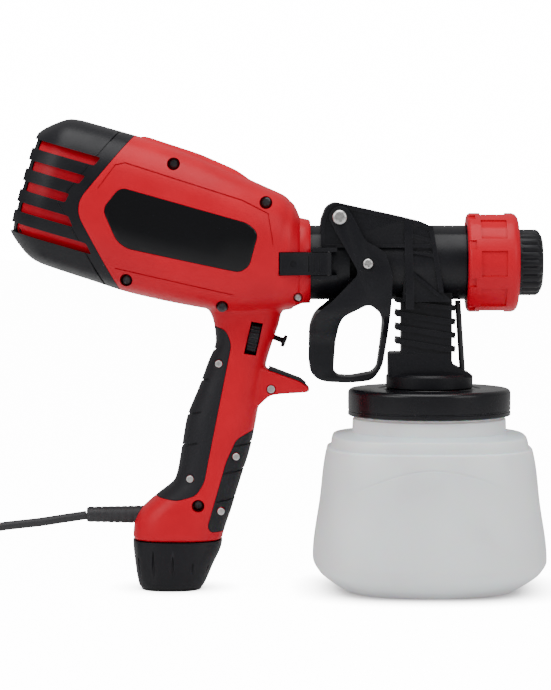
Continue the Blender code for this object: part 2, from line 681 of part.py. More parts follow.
def make_housing(red):
    """Both halves of the clamshell, hollow, with bosses, ribs, collar, finger rest and recesses."""
    outer = join(body_solid(0.0), handle_solid(0.0),
                 slab(FINGER_REST, -FINGER_REST_HALF_WIDTH, FINGER_REST_HALF_WIDTH, upright))
    cavity = join(body_solid(BODY_WALL, 0.02), handle_solid(HANDLE_WALL, 0.02))
    for along in STATOR_RIBS:
        rib = cylinder(on_body(along, 0.0), on_body(along + RIB_THICKNESS, 0.0), 0.08, 20)
        cut(rib, cylinder(on_body(along - 0.01, 0.0), on_body(along + 0.01, 0.0), STATOR_RADIUS + RIB_CLEARANCE, 24))
        cut(cavity, rib)
    for x, z in SCREW_PLACES:
        cut(cavity, across_bar(x, z, BOSS_RADIUS, -FAR, FAR))
    cut(outer, cavity)
    cut(outer, slab(border_outline(COVER_GAP), -FAR, FAR, on_body))
    for x, z in SCREW_PLACES:
        side = side_of_housing(x, z)
        head_floor = side - SCREW_RECESS_DEPTH
        cut(outer, across_bar(x, z, SCREW_RECESS_RADIUS, -FAR, -head_floor),
            across_bar(x, z, SCREW_SHANK_RADIUS + GAP, -head_floor - 0.001, 0.012))
    for _, x, z in SMALL_SCREW_PLACES:
        half = small_screw_side(z)
        cut(outer, across_bar(x, z, SMALL_SCREW_HEAD_RADIUS + GAP, -FAR, -half + 0.002))
    for outline in (REAR_GRIP, FRONT_GRIP):
        recess = slab(grown_grip(outline), -FAR, FAR, upright)
        cut(recess, handle_solid(GRIP_THICKNESS + GAP))
        cut(outer, recess)
    plate_recess = slab(grown(PLATE_OUTLINE, GAP), -FAR, FAR, on_body)
    cut(plate_recess, body_solid_closed(PLATE_THICKNESS + GAP))
    cut(outer, plate_recess)
    cut(outer, dial_solid(DIAL_RADIUS + 0.0006, DIAL_WIDTH / 2.0 + 0.0005, 24))
    direction = plunger_direction()
    cut(outer, cylinder(PLUNGER_HEAD - direction * 0.018, PLUNGER_HEAD, PLUNGER_STEM_RADIUS + GAP, 12))
    cut(outer, cylinder(Vector((-0.19, 0.0, RELIEF_HEIGHT)), Vector((RELIEF_INNER_X, 0.0, RELIEF_HEIGHT)),
                        RELIEF_RADII[0] + GAP, 20))
    trigger_room = block((TRIGGER_ROOM_REAR_X, -FAR, TRIGGER_ROOM_BOTTOM_Z), (FAR, FAR, COLLAR_UNDERCUT_Z))
    cut(outer, trigger_room)
    cut(outer, block((-0.0813, -FAR, CATCH_Z[0] - GAP), (-0.05, CATCH_FLOOR_Y + GAP, CATCH_Z[1] + GAP)))
    left, right = copy_of(outer), outer
    keep(left, block((-FAR, -FAR, -FAR), (FAR, -GAP / 2.0, FAR)))
    keep(right, block((-FAR, GAP / 2.0, -FAR), (FAR, FAR, FAR)))
    finish(left, "housing_left", red)
    finish(right, "housing_right", red)


def body_solid_closed(inset):
    """The housing's form moved in evenly, collar included, for cutting skins of even thickness."""
    rings = body_rings(inset)
    rings.append(collar_ring(COLLAR_FACE_X - COLLAR_LENGTH, COLLAR_HALF - inset, 2.4))
    return loft(rings)


def small_screw_side(z):
    return FINGER_REST_HALF_WIDTH if z < 0.12 else COLLAR_HALF * 0.66


def grown_grip(outline):
    """A grip's anticlockwise outline grown by the gap where it meets the housing."""
    points = [Vector(point) for point in outline]
    moved = []
    for step, point in enumerate(points):
        before, after = points[step - 1], points[(step + 1) % len(points)]
        first, second = (point - before).normalized(), (after - point).normalized()
        mean = (Vector((first.y, -first.x)) + Vector((second.y, -second.x))).normalized()
        moved.append(point + mean * GAP)
    return moved


def make_grips(black_rubber, screw_steel):
    for name, outline in (("rear_grip", REAR_GRIP), ("front_grip", FRONT_GRIP)):
        grip = handle_solid(0.0)
        cut(grip, handle_solid(GRIP_THICKNESS, 0.01))
        keep(grip, slab(outline, -FAR, FAR, upright))
        for x, z in GRIP_SCREW_PLACES:
            cut(grip, across_bar(x, z, GRIP_SCREW_RADIUS + GAP, -FAR, 0.0, 12))
        finish(grip, name, black_rubber)
    for number, (x, z) in enumerate(GRIP_SCREW_PLACES, start=1):
        side = side_of_housing(x, z)
        head = across_bar(x, z, GRIP_SCREW_RADIUS, -side + GRIP_THICKNESS + GAP / 2.0 - 0.0004, -side + 0.0001, 12)
        finish(head, f"grip_screw_{number}", screw_steel)


def make_rear_cover(black, red, foam):
    cover = body_solid_closed(0.0)
    cut(cover, body_solid_closed(BODY_WALL))
    keep(cover, slab(border_outline(0.0), -FAR, FAR, on_body))
    for number, end in enumerate(SLOT_ENDS):
        middle = SLOT_MIDDLE_UP + SLOT_PITCH * (2 - number)
        low, high = middle - SLOT_HEIGHT / 2.0, middle + SLOT_HEIGHT / 2.0
        outline = ((-0.01, low), (end, low), (end, high), (-0.01, high))
        for side in (-1.0, 1.0):
            near, far = sorted((side * SLOT_DEPTH_FROM, side * FAR))
            cut(cover, slab(outline, near, far, on_body))
    finish(cover, "filter_cover", black)

    grille = loft(body_rings(GRILLE_INSET, GRILLE_LOFT_FRONT))
    cut(grille, slab(((GRILLE_FRONT, -FAR), (FAR, -FAR), (FAR, FAR), (GRILLE_FRONT, FAR)), -FAR, FAR, on_body))
    room_rings = body_rings(GRILLE_INSET + GRILLE_WALL, GRILLE_LOFT_FRONT)
    mouth = [point - BODY_ALONG * 0.02 for point in room_rings[0]]
    room = loft([mouth] + room_rings)
    plate_rear, plate_front = GRILLE_PLATE
    cut(room, slab(((plate_rear, -FAR), (plate_front, -FAR), (plate_front, FAR), (plate_rear, FAR)),
                   -FAR, FAR, on_body))
    cut(grille, room)
    for number in range(5):
        middle = SLOT_MIDDLE_UP + SLOT_PITCH * (2 - number)
        cut(grille, slab(((0.005, middle - 0.002), (0.02, middle - 0.002), (0.02, middle + 0.002),
                          (0.005, middle + 0.002)), -0.022, 0.022, on_body))
    finish(grille, "intake_grille", red)
    foam_rings = [ring(on_body(along, 0.0), Y_AXIS, BODY_UP, FOAM_HALF[0], FOAM_HALF[1], 3.0, RING_POINTS)
                  for along in (FOAM_REAR, plate_rear - GAP)]
    finish(loft(foam_rings), "filter_foam", foam)


def along_body(profile, segments=20):
    return turned(profile, BODY_REAR, BODY_ALONG, segments)


def make_motor(steel, copper, aluminium, black, carbon):
    shaft_bore = SHAFT_RADIUS + RUNNING
    start, end = SHAFT_SPAN
    finish(along_body(((start, 0.0), (start, SHAFT_RADIUS), (end, SHAFT_RADIUS), (end, 0.0)), 20),
           "motor_shaft", steel, BODY_REAR.copy())
    rear, front = STATOR_SPAN
    inner = ROTOR_RADIUS + AIR_GAP
    winding = WINDING_OVERHANG
    finish(along_body(((rear, inner), (rear - winding, inner + 0.002), (rear - winding, STATOR_RADIUS - 0.0025),
                       (rear, STATOR_RADIUS - 0.0015), (rear, STATOR_RADIUS), (front, STATOR_RADIUS),
                       (front, STATOR_RADIUS - 0.0015), (front + winding, STATOR_RADIUS - 0.0025),
                       (front + winding, inner + 0.002), (front, inner)), 24), "stator_core", steel)
    first, last = COMMUTATOR_SPAN
    finish(along_body(((first, shaft_bore), (first, COMMUTATOR_RADIUS), (last, COMMUTATOR_RADIUS), (last, 0.0145),
                       (rear - 0.001, 0.0160), (rear, ROTOR_RADIUS), (front, ROTOR_RADIUS),
                       (front + 0.002, 0.0155), (front + 0.005, 0.0130), (front + 0.005, shaft_bore)), 24),
           "armature", copper, BODY_REAR.copy())
    rear_seat = SHAFT_SPAN[0] + REAR_SEAT_STEP
    front_seat = front + FRONT_SEAT_STEP
    for name, seat in (("bearing_rear", rear_seat), ("bearing_front", front_seat)):
        finish(along_body(((seat, shaft_bore), (seat, BEARING_RADIUS), (seat + BEARING_WIDTH, BEARING_RADIUS),
                           (seat + BEARING_WIDTH, shaft_bore)), 24), name, steel)
    seat_radius = BEARING_RADIUS + GAP
    rim = rear - winding - GAP
    plate = rear_seat + BRACKET_PLATE
    finish(along_body(((rear_seat, seat_radius), (rear_seat, seat_radius + BRACKET_HUB_WALL), (plate, seat_radius + BRACKET_HUB_WALL),
                       (plate, STATOR_RADIUS), (rim, STATOR_RADIUS), (rim, STATOR_RADIUS - BRACKET_WALL),
                       (plate + BRACKET_PLATE, STATOR_RADIUS - BRACKET_WALL), (plate + BRACKET_PLATE, seat_radius))),
           "rear_bracket", aluminium)
    rim = front + winding + GAP
    plate = front_seat + 0.0005
    finish(along_body(((rim, STATOR_RADIUS - BRACKET_WALL), (rim, STATOR_RADIUS), (plate + BRACKET_PLATE, STATOR_RADIUS),
                       (plate + BRACKET_PLATE, seat_radius + BRACKET_HUB_WALL), (front_seat + BEARING_WIDTH, seat_radius + BRACKET_HUB_WALL),
                       (front_seat + BEARING_WIDTH, seat_radius), (plate, seat_radius),
                       (plate, STATOR_RADIUS - BRACKET_WALL))), "front_bracket", aluminium)
    for name, side in (("brush_left", -1.0), ("brush_right", 1.0)):
        near, far = sorted((side * (COMMUTATOR_RADIUS + GAP), side * (STATOR_RADIUS - BRACKET_WALL - BRUSH_END_ROOM)))
        finish(slab(((first + BRUSH_HALF, -BRUSH_HALF), (first + BRUSH_HALF * 3.0, -BRUSH_HALF),
                     (first + BRUSH_HALF * 3.0, BRUSH_HALF), (first + BRUSH_HALF, BRUSH_HALF)),
                    near, far, on_body), name, carbon)
    make_fan(shaft_bore, black)


def make_fan(shaft_bore, black):
    """Bladed wheel on the shaft, and the shroud round it."""
    back, front = FAN_SPAN
    blades = []
    for number in range(FAN_BLADES):
        angle = 2.0 * math.pi * number / FAN_BLADES
        for radius, turn in ((0.0080, -0.10), (0.0180, 0.10), (FAN_RADIUS, 0.42), (FAN_RADIUS, 0.50),
                             (0.0180, 0.22), (0.0080, 0.14)):
            blades.append((radius * math.cos(angle + turn), radius * math.sin(angle + turn)))

    def across_shaft(side, up, along):
        return on_body(along, up, side)

    wheel = slab(blades, back + 0.001, front, across_shaft)
    join(wheel, along_body(((back, 0.0), (back, FAN_RADIUS), (back + 0.0015, FAN_RADIUS), (back + 0.0015, 0.0))),
         along_body(((back + 0.0005, 0.0), (back + 0.0005, 0.0085), (front - 0.001, 0.0065), (front - 0.001, 0.0)), 20))
    cut(wheel, along_body(((back - 0.01, 0.0), (back - 0.01, shaft_bore), (front + 0.01, shaft_bore),
                           (front + 0.01, 0.0)), 20))
    finish(wheel, "impeller", black, BODY_REAR.copy())
    radius, wall = FAN_SHROUD_RADIUS, FAN_SHROUD_WALL
    finish(along_body(((back - 0.001, radius - wall), (back - 0.001, radius), (front + 0.0030, radius),
                       (front + 0.0055, radius - 0.0040), (front + 0.0055, 0.0200), (front + 0.0040, 0.0200),
                       (front + 0.0040, radius - 0.0050), (front + 0.0020, radius - wall))), "fan_housing", black)


def make_screws(dark_steel):
    for number, (x, z) in enumerate(SCREW_PLACES, start=1):
        head_floor = side_of_housing(x, z) - SCREW_RECESS_DEPTH
        seat = -head_floor - GAP
        length = SCREW_TIP_Y - seat - SCREW_HEAD_HEIGHT
        profile = ((0.0, 0.0), (0.0, SCREW_HEAD_RADIUS), (SCREW_HEAD_HEIGHT, SCREW_HEAD_RADIUS),
                   (SCREW_HEAD_HEIGHT, SCREW_SHANK_RADIUS), (length, SCREW_SHANK_RADIUS), (length, 0.0))
        finish(turned(profile, Vector((x, seat - SCREW_HEAD_HEIGHT, z)), Y_AXIS, 12), f"housing_screw_{number}",
               dark_steel)
    for name, x, z in SMALL_SCREW_PLACES:
        floor = -small_screw_side(z) + 0.002
        finish(across_bar(x, z, SMALL_SCREW_HEAD_RADIUS, floor - 0.0018, floor - GAP, 12), name, dark_steel)


def make_name_plates(gloss_black):
    for name, near, far in (("name_plate_left", -FAR, 0.0), ("name_plate_right", 0.0, FAR)):
        plate = body_solid_closed(0.0)
        cut(plate, body_solid_closed(PLATE_THICKNESS))
        keep(plate, slab(PLATE_OUTLINE, near, far, on_body))
        finish(plate, name, gloss_black)


def plunger_direction():
    return Vector((math.cos(PLUNGER_TILT), 0.0, -math.sin(PLUNGER_TILT)))


def dial_solid(radius, half_width, segments):
    axis = Vector((math.cos(DIAL_TILT), 0.0, -math.sin(DIAL_TILT)))
    return turned(((-half_width, 0.0), (-half_width, radius), (half_width, radius), (half_width, 0.0)),
                  DIAL_CENTRE, axis, segments)


def make_controls(black, grey, board_green):
    """Speed dial, switch with its plunger, and the circuit board in the handle."""
    axis = Vector((math.cos(DIAL_TILT), 0.0, -math.sin(DIAL_TILT)))
    up = axis.cross(Y_AXIS).normalized()
    rings = []
    for offset in (-DIAL_WIDTH / 2.0, DIAL_WIDTH / 2.0):
        points = []
        for step in range(DIAL_TEETH * 2):
            angle = math.pi * step / DIAL_TEETH
            radius = DIAL_RADIUS if step % 2 == 0 else DIAL_RADIUS - 0.0006
            points.append(DIAL_CENTRE + axis * offset + Y_AXIS * radius * math.cos(angle)
                          + up * radius * math.sin(angle))
        rings.append(points)
    finish(loft(rings), "speed_dial", black, DIAL_CENTRE.copy())
    half = Vector(SWITCH_SIZE) / 2.0
    direction = plunger_direction()
    switch = block(SWITCH_CENTRE - half, SWITCH_CENTRE + half)
    cut(switch, cylinder(PLUNGER_HEAD - direction * (PLUNGER_LENGTH + PLUNGER_TRAVEL), PLUNGER_HEAD,
                         PLUNGER_STEM_RADIUS + GAP, 12))
    finish(switch, "switch_body", grey)
    profile = ((-PLUNGER_LENGTH, 0.0), (-PLUNGER_LENGTH, PLUNGER_STEM_RADIUS), (-0.001, PLUNGER_STEM_RADIUS),
               (-0.001, PLUNGER_HEAD_RADIUS), (-0.001 + PLUNGER_HEAD_LENGTH, PLUNGER_HEAD_RADIUS),
               (-0.001 + PLUNGER_HEAD_LENGTH, 0.0))
    finish(turned(profile, PLUNGER_HEAD, direction, 14), "switch_plunger", black, PLUNGER_HEAD.copy())
    half = Vector(BOARD_SIZE) / 2.0
    finish(block(BOARD_CENTRE - half, BOARD_CENTRE + half), "control_board", board_green)


def make_handle_trim(black, rubber):
    finish(slab(FINGER_PAD, -FINGER_REST_HALF_WIDTH + 0.001, FINGER_REST_HALF_WIDTH - 0.001, upright),
           "finger_rest_pad", rubber)
    cap = loft(handle_rings(BASE_CAP_STATIONS, 0.0))
    room = handle_rings(BASE_CAP_STATIONS, BASE_CAP_WALL)[:3]
    room[-1] = [Vector((point.x, point.y, BASE_CAP_WALL)) for point in room[-1]]
    cut(cap, loft([[point + Z_AXIS * 0.01 for point in room[0]]] + room))
    finish(cap, "base_cap", black)


# ---------------------------------------------------------------- mains lead
def make_cord(rubber, steel):
    length = RELIEF_INNER_X - RELIEF_END_X
    profile = ((0.0, 0.0), (0.0, RELIEF_FLANGE_RADIUS), (RELIEF_FLANGE, RELIEF_FLANGE_RADIUS),
               (RELIEF_FLANGE, RELIEF_RADII[0]), (length, RELIEF_RADII[1]), (length, 0.0))
    finish(turned(profile, Vector((RELIEF_INNER_X, 0.0, RELIEF_HEIGHT)), -X_AXIS, 20), "strain_relief", rubber)
    finish(tube_along(smooth_path(CORD_ROUTE, 2), CORD_DIAMETER / 2.0, 2), "mains_cord", rubber)
    finish(tube_along(smooth_path(TAIL_ROUTE, 3), CORD_DIAMETER / 2.0, 2), "cord_tail", rubber)
    half = COIL_TURNS_WIDE * CORD_DIAMETER / 2.0
    height = COIL_TURNS_HIGH * CORD_DIAMETER
    finish(turned(((0.0, COIL_MEAN_RADIUS - half), (0.0, COIL_MEAN_RADIUS + half), (height, COIL_MEAN_RADIUS + half),
                   (height, COIL_MEAN_RADIUS - half)), Vector((*COIL_CENTRE, 0.0)), Z_AXIS, 28), "cord_coil", rubber)
    rings = [ring(PLUG_START + X_AXIS * along, Y_AXIS, Z_AXIS, half_width, half_height, 3.0, 16)
             for along, half_width, half_height in PLUG_HALF_SIZES]
    finish(loft(rings), "plug_body", rubber)
    for name, side in (("plug_pin_1", -0.5), ("plug_pin_2", 0.5)):
        start = PLUG_START + X_AXIS * (PLUG_LENGTH + GAP) + Y_AXIS * (side * PIN_SPACING)
        profile = ((0.0, 0.0), (0.0, PIN_RADIUS), (PIN_LENGTH - 0.001, PIN_RADIUS), (PIN_LENGTH, 0.0012),
                   (PIN_LENGTH, 0.0))
        finish(turned(profile, start, X_AXIS, 10), name, steel)


# ---------------------------------------------------------------- spray head
def along_spray(profile, segments=24):
    return turned(profile, Vector((0.0, 0.0, SPRAY_AXIS_Z)), X_AXIS, segments)


def solid_along_spray(start, end, radius, segments=24):
    return along_spray(((start, 0.0), (start, radius), (end, radius), (end, 0.0)), segments)


def make_spray_body(black):
    """Duct, barrel, yoke, ribbed stem and collar in one moulding, with its air and paint ways."""
    body = solid_along_spray(SPIGOT_REAR_X, BARREL_FRONT_X, DUCT_RADIUS, 24)
    join(body, solid_along_spray(BARREL_FRONT_X - 0.002, NOSE_FRONT_X, NOSE_RADIUS, 24),
         slab(YOKE, -YOKE_HALF_WIDTH, YOKE_HALF_WIDTH, upright),
         block((STEM_X[0], -STEM_HALF_WIDTH, COLLAR_DISC[1] - 0.001), (STEM_X[1], STEM_HALF_WIDTH, 0.165)))
    for number in range(STEM_RIBS):
        height = COLLAR_BLOCK_TOP + STEM_FIRST_RIB + STEM_RIB_PITCH * number
        rib = block((STEM_X[0] - STEM_RIB_OVERHANG, -STEM_HALF_WIDTH - STEM_RIB_PROUD, -STEM_RIB_THICKNESS / 2.0),
                    (STEM_X[1] + STEM_RIB_PROUD, STEM_HALF_WIDTH + STEM_RIB_PROUD, STEM_RIB_THICKNESS / 2.0))
        rib.data.transform(Matrix.Translation((0.0, 0.0, height)) @ Matrix.Rotation(STEM_RIB_SLOPE, 4, "Y"))
        join(body, rib)
    centre = Vector((0.0, 0.0, 0.0))
    join(body, turned(((COLLAR_DISC[0], 0.0), (COLLAR_DISC[0], COLLAR_DISC_RADIUS),
                       (COLLAR_DISC[1] - 0.001, COLLAR_DISC_RADIUS), (COLLAR_DISC[1], COLLAR_DISC_RADIUS - 0.001),
                       (COLLAR_DISC[1], 0.0)), centre, Z_AXIS, 24),
         block((COLLAR_BLOCK_X[0], -COLLAR_BLOCK_HALF_WIDTH, COLLAR_DISC[1] - 0.001),
               (COLLAR_BLOCK_X[1], COLLAR_BLOCK_HALF_WIDTH, COLLAR_BLOCK_TOP)),
         turned(((SPIGOT_BOTTOM_Z, 0.0), (SPIGOT_BOTTOM_Z, SPIGOT_RADIUS), (COLLAR_DISC[0] + 0.001, SPIGOT_RADIUS),
                 (COLLAR_DISC[0] + 0.001, 0.0)), centre, Z_AXIS, 18))
    for low in (CATCH_Z[0] - GAP - RAIL_HALF_HEIGHT, CATCH_Z[1] + GAP):
        join(body, block((RAIL_X[0], RAIL_Y, low), (RAIL_X[1], -0.012, low + RAIL_HALF_HEIGHT)))
    air_way = solid_along_spray(SPIGOT_REAR_X - 0.01, NOSE_FRONT_X + 0.01, DUCT_BORE, 24)
    cut(air_way, solid_along_spray(FLUID_TUBE_REAR_X, NOSE_FRONT_X + 0.02, FLUID_TUBE_RADIUS, 12),
        cylinder(Vector((0.0, 0.0, 0.15)), Vector((0.0, 0.0, SPRAY_AXIS_Z)), FLUID_TUBE_RADIUS, 12),
        block((SPRING_SEAT_X - SPRING_SEAT_THICKNESS, -0.1, SPRAY_AXIS_Z - SPRING_SEAT_HALF_HEIGHT),
              (SPRING_SEAT_X, 0.1, SPRAY_AXIS_Z + SPRING_SEAT_HALF_HEIGHT)),
        block((WEB_X[0], -WEB_HALF_THICKNESS, SPRAY_AXIS_Z - 0.1), (WEB_X[1], WEB_HALF_THICKNESS, SPRAY_AXIS_Z + 0.1)))
    cut(body, air_way)
    cut(body, solid_along_spray(FLUID_TUBE_REAR_X - 0.01, NOSE_FRONT_X + 0.01, FLUID_BORE, 10),
        cylinder(Vector((0.0, 0.0, 0.1)), Vector((0.0, 0.0, SPRAY_AXIS_Z)), FLUID_BORE, 10),
        cylinder(Vector((0.0, 0.0, SPIGOT_BOTTOM_Z - 0.01)), Vector((0.0, 0.0, PICKUP_TOP_Z + GAP)),
                 PICKUP_RADIUS + GAP, 14))
    for side in (-1.0, 1.0):
        near, far = sorted((side * LINK_SLOT_Y[0], side * LINK_SLOT_Y[1]))
        cut(body, block((LINK_PIN.x - NEEDLE_TRAVEL - LINK_SLOT_ROOM, near, LINK_PIN.z + LINK_SLOT_Z[0]),
                        (LINK_PIN.x + LINK_SLOT_ROOM, far, LINK_PIN.z + LINK_SLOT_Z[1])))
    cut(body, across_bar(TRIGGER_PIVOT.x, TRIGGER_PIVOT.z, PIVOT_PIN_RADIUS + PIN_CLEARANCE, -FAR, FAR),
        cylinder(Vector((CATCH_PIVOT.x, CATCH_PIVOT.y, 0.160)), Vector((CATCH_PIVOT.x, CATCH_PIVOT.y, 0.195)),
                 CATCH_PIN_RADIUS + PIN_CLEARANCE, 12))
    finish(body, "spray_body", black)


def make_catch(black, steel):
    catch = slab(CATCH_OUTLINE, CATCH_Z[0], CATCH_Z[1], flat)
    cut(catch, cylinder(Vector((CATCH_PIVOT.x, CATCH_PIVOT.y, 0.160)), Vector((CATCH_PIVOT.x, CATCH_PIVOT.y, 0.195)),
                        CATCH_PIN_RADIUS + PIN_CLEARANCE, 12))
    finish(catch, "head_catch", black, CATCH_PIVOT.copy())
    finish(cylinder(Vector((CATCH_PIVOT.x, CATCH_PIVOT.y, CATCH_Z[0] - RAIL_HALF_HEIGHT)),
                    Vector((CATCH_PIVOT.x, CATCH_PIVOT.y, CATCH_Z[1] + RAIL_HALF_HEIGHT)), CATCH_PIN_RADIUS, 10),
           "catch_pin", steel)


def trigger_half_width(z):
    low, high = TRIGGER_TAPER
    share = min(max((z - low) / (high - low), 0.0), 1.0)
    return TRIGGER_LOOP_HALF + share * (TRIGGER_ARM_INNER + TRIGGER_ARM_THICKNESS - TRIGGER_LOOP_HALF)


def make_trigger(black, steel):
    trigger = slab(TRIGGER_OUTLINE, 0.0, 0.0, upright, trigger_half_width)
    cut(trigger, slab(TRIGGER_OPENING, -FAR, FAR, upright),
        block((-FAR, -TRIGGER_ARM_INNER, TRIGGER_BRIDGE_TOP), (FAR, TRIGGER_ARM_INNER, FAR)),
        across_bar(TRIGGER_PIVOT.x, TRIGGER_PIVOT.z, PIVOT_PIN_RADIUS + PIN_CLEARANCE, -FAR, FAR),
        across_bar(LINK_PIN.x, LINK_PIN.z, LINK_PIN_RADIUS + PIN_CLEARANCE, -FAR, FAR))
    finish(trigger, "trigger", black, TRIGGER_PIVOT.copy())
    outside = TRIGGER_ARM_INNER + TRIGGER_ARM_THICKNESS + GAP
    for name, place, radius, head in (("trigger_pivot_pin", TRIGGER_PIVOT, PIVOT_PIN_RADIUS, PIVOT_HEAD_RADIUS),
                                      ("link_pin", LINK_PIN, LINK_PIN_RADIUS, LINK_HEAD_RADIUS)):
        end = outside + PIN_HEAD
        profile = ((-end, 0.0), (-end, head), (-outside, head), (-outside, radius), (outside, radius),
                   (outside, head), (end, head), (end, 0.0))
        finish(turned(profile, place.copy(), Y_AXIS, 16), name, steel)


def make_needle(steel, nylon):
    needle = block((CARRIER_X[0], -CARRIER_HALF_WIDTH, CARRIER_Z[0]), (CARRIER_X[1], CARRIER_HALF_WIDTH, CARRIER_Z[1]))
    reach = LINK_PIN_RADIUS + CARRIER_SLOT_CLEARANCE
    cut(needle, block((LINK_PIN.x - reach, -FAR, CARRIER_SLOT_BOTTOM - 0.001),
                      (LINK_PIN.x + reach, FAR, LINK_PIN.z + LINK_PIN_RADIUS + CARRIER_SLOT_CLEARANCE)))
    tip = NEEDLE_TIP_X
    join(needle, along_spray(((CARRIER_X[1] - 0.001, 0.0), (CARRIER_X[1] - 0.001, NEEDLE_RADIUS),
                              (tip - 0.004, NEEDLE_RADIUS), (tip, 0.0005), (tip, 0.0)), 12))
    finish(needle, "needle", steel)
    start, end = SPRING_SEAT_X + SPRING_WIRE + GAP, CARRIER_X[0] - SPRING_WIRE - GAP
    points = []
    steps = SPRING_TURNS * 8
    for step in range(steps + 1):
        angle = 2.0 * math.pi * SPRING_TURNS * step / steps
        points.append(Vector((start + (end - start) * step / steps, SPRING_RADIUS * math.cos(angle),
                              SPRAY_AXIS_Z + SPRING_RADIUS * math.sin(angle))))
    finish(tube_along(points, SPRING_WIRE, 0), "needle_spring", steel)
    nozzle_rear = NOSE_FRONT_X + GAP
    finish(along_spray(((nozzle_rear, FLUID_BORE), (nozzle_rear, FLUID_TUBE_RADIUS + 0.001),
                        (nozzle_rear + 0.008, FLUID_TUBE_RADIUS + 0.001), (NEEDLE_TIP_X - 0.002, NOZZLE_TIP_RADIUS),
                        (NEEDLE_TIP_X + 0.0010, NOZZLE_TIP_RADIUS - 0.0002), (NEEDLE_TIP_X + 0.0010, 0.0012),
                        (NEEDLE_TIP_X - 0.0035, 0.0019), (NEEDLE_TIP_X - 0.006, FLUID_BORE)), 24), "fluid_nozzle", nylon)


def make_nozzle_end(red, black):
    rear, front = RING_NUT_X
    lip_rear = front - RING_NUT_LIP
    bore = AIR_CAP_RADIUS + 0.0004
    nut = along_spray(((rear, RING_NUT_BORE), (rear, RING_NUT_RADIUS - 0.001), (rear + 0.001, RING_NUT_RADIUS),
                       (front - 0.003, RING_NUT_RADIUS), (front, RING_NUT_RADIUS - 0.003), (front, bore),
                       (lip_rear, bore), (lip_rear, RING_NUT_BORE)), 28)
    finish(nut, "ring_nut", red, Vector((rear, 0.0, SPRAY_AXIS_Z)))
    flange_rear = lip_rear - GAP - AIR_CAP_FLANGE
    cap = along_spray(((flange_rear, 0.0130), (flange_rear, RING_NUT_BORE - 0.0005),
                       (flange_rear + AIR_CAP_FLANGE, RING_NUT_BORE - 0.0005), (flange_rear + AIR_CAP_FLANGE, AIR_CAP_RADIUS),
                       (AIR_CAP_FRONT_X - 0.003, AIR_CAP_RADIUS), (AIR_CAP_FRONT_X, AIR_CAP_RADIUS - 0.003),
                       (AIR_CAP_FRONT_X, AIR_HOLE_RADIUS), (AIR_CAP_FRONT_X - 0.003, AIR_HOLE_RADIUS),
                       (AIR_CAP_FRONT_X - 0.003, 0.0130)), AIR_CAP_FLUTES)
    groove_start = front + 0.001
    for number in range(AIR_CAP_FLUTES // 2):
        angle = 2.0 * math.pi * number / (AIR_CAP_FLUTES // 2)
        direction = Vector((0.0, math.cos(angle), math.sin(angle)))
        middle = Vector((0.0, 0.0, SPRAY_AXIS_Z)) + direction * (AIR_CAP_RADIUS + 0.0006)
        cut(cap, cylinder(middle + X_AXIS * groove_start, middle + X_AXIS * 0.08, 0.0012, 6))
    finish(cap, "air_cap", black, Vector((flange_rear, 0.0, SPRAY_AXIS_Z)))


# ---------------------------------------------------------------- lid and jar
def about_upright(profile, segments=28):
    return turned(profile, Vector((0.0, 0.0, 0.0)), Z_AXIS, segments)


def make_lid_and_jar(black, rubber, nylon, milky):
    low, high = LID_Z
    inner = LID_RADIUS - LID_WALL
    finish(about_upright(((low, inner), (low, LID_RADIUS), (high - 0.0015, LID_RADIUS), (high, LID_RADIUS - 0.0015),
                          (high, LID_HOLE), (high - LID_WALL, LID_HOLE), (high - LID_WALL, inner)), 32), "jar_lid", black)
    mouth_top, mouth_radius = JAR_STATIONS[-1][:2]
    gasket = mouth_top + GAP
    finish(about_upright(((gasket, mouth_radius - GASKET_WIDTH), (gasket, mouth_radius),
                          (gasket + GASKET_HEIGHT, mouth_radius), (gasket + GASKET_HEIGHT, mouth_radius - GASKET_WIDTH)),
                         28), "lid_gasket", rubber)
    outside = [ring(Vector((0.0, 0.0, height)), X_AXIS, Y_AXIS, half, half, exponent, JAR_POINTS)
               for height, half, exponent in JAR_STATIONS]
    inside = []
    for height, half, exponent in reversed(JAR_STATIONS):
        wall = JAR_MOUTH_WALL if height > 0.0835 else JAR_WALL
        lift = height if height > JAR_WALL * 2.0 else height + JAR_WALL
        inside.append(ring(Vector((0.0, 0.0, lift)), X_AXIS, Y_AXIS, half - wall, half - wall, exponent, JAR_POINTS))
    finish(loft(outside + inside), "jar", milky)
    finish(about_upright(((PICKUP_BOTTOM_Z, PICKUP_BORE), (PICKUP_BOTTOM_Z, PICKUP_RADIUS),
                          (PICKUP_TOP_Z, PICKUP_RADIUS), (PICKUP_TOP_Z, PICKUP_BORE)), 14), "pickup_tube", nylon)
    finish(cylinder(PRESSURE_TUBE[0], PRESSURE_TUBE[1], PRESSURE_TUBE_RADIUS, 14), "pressure_tube", rubber)


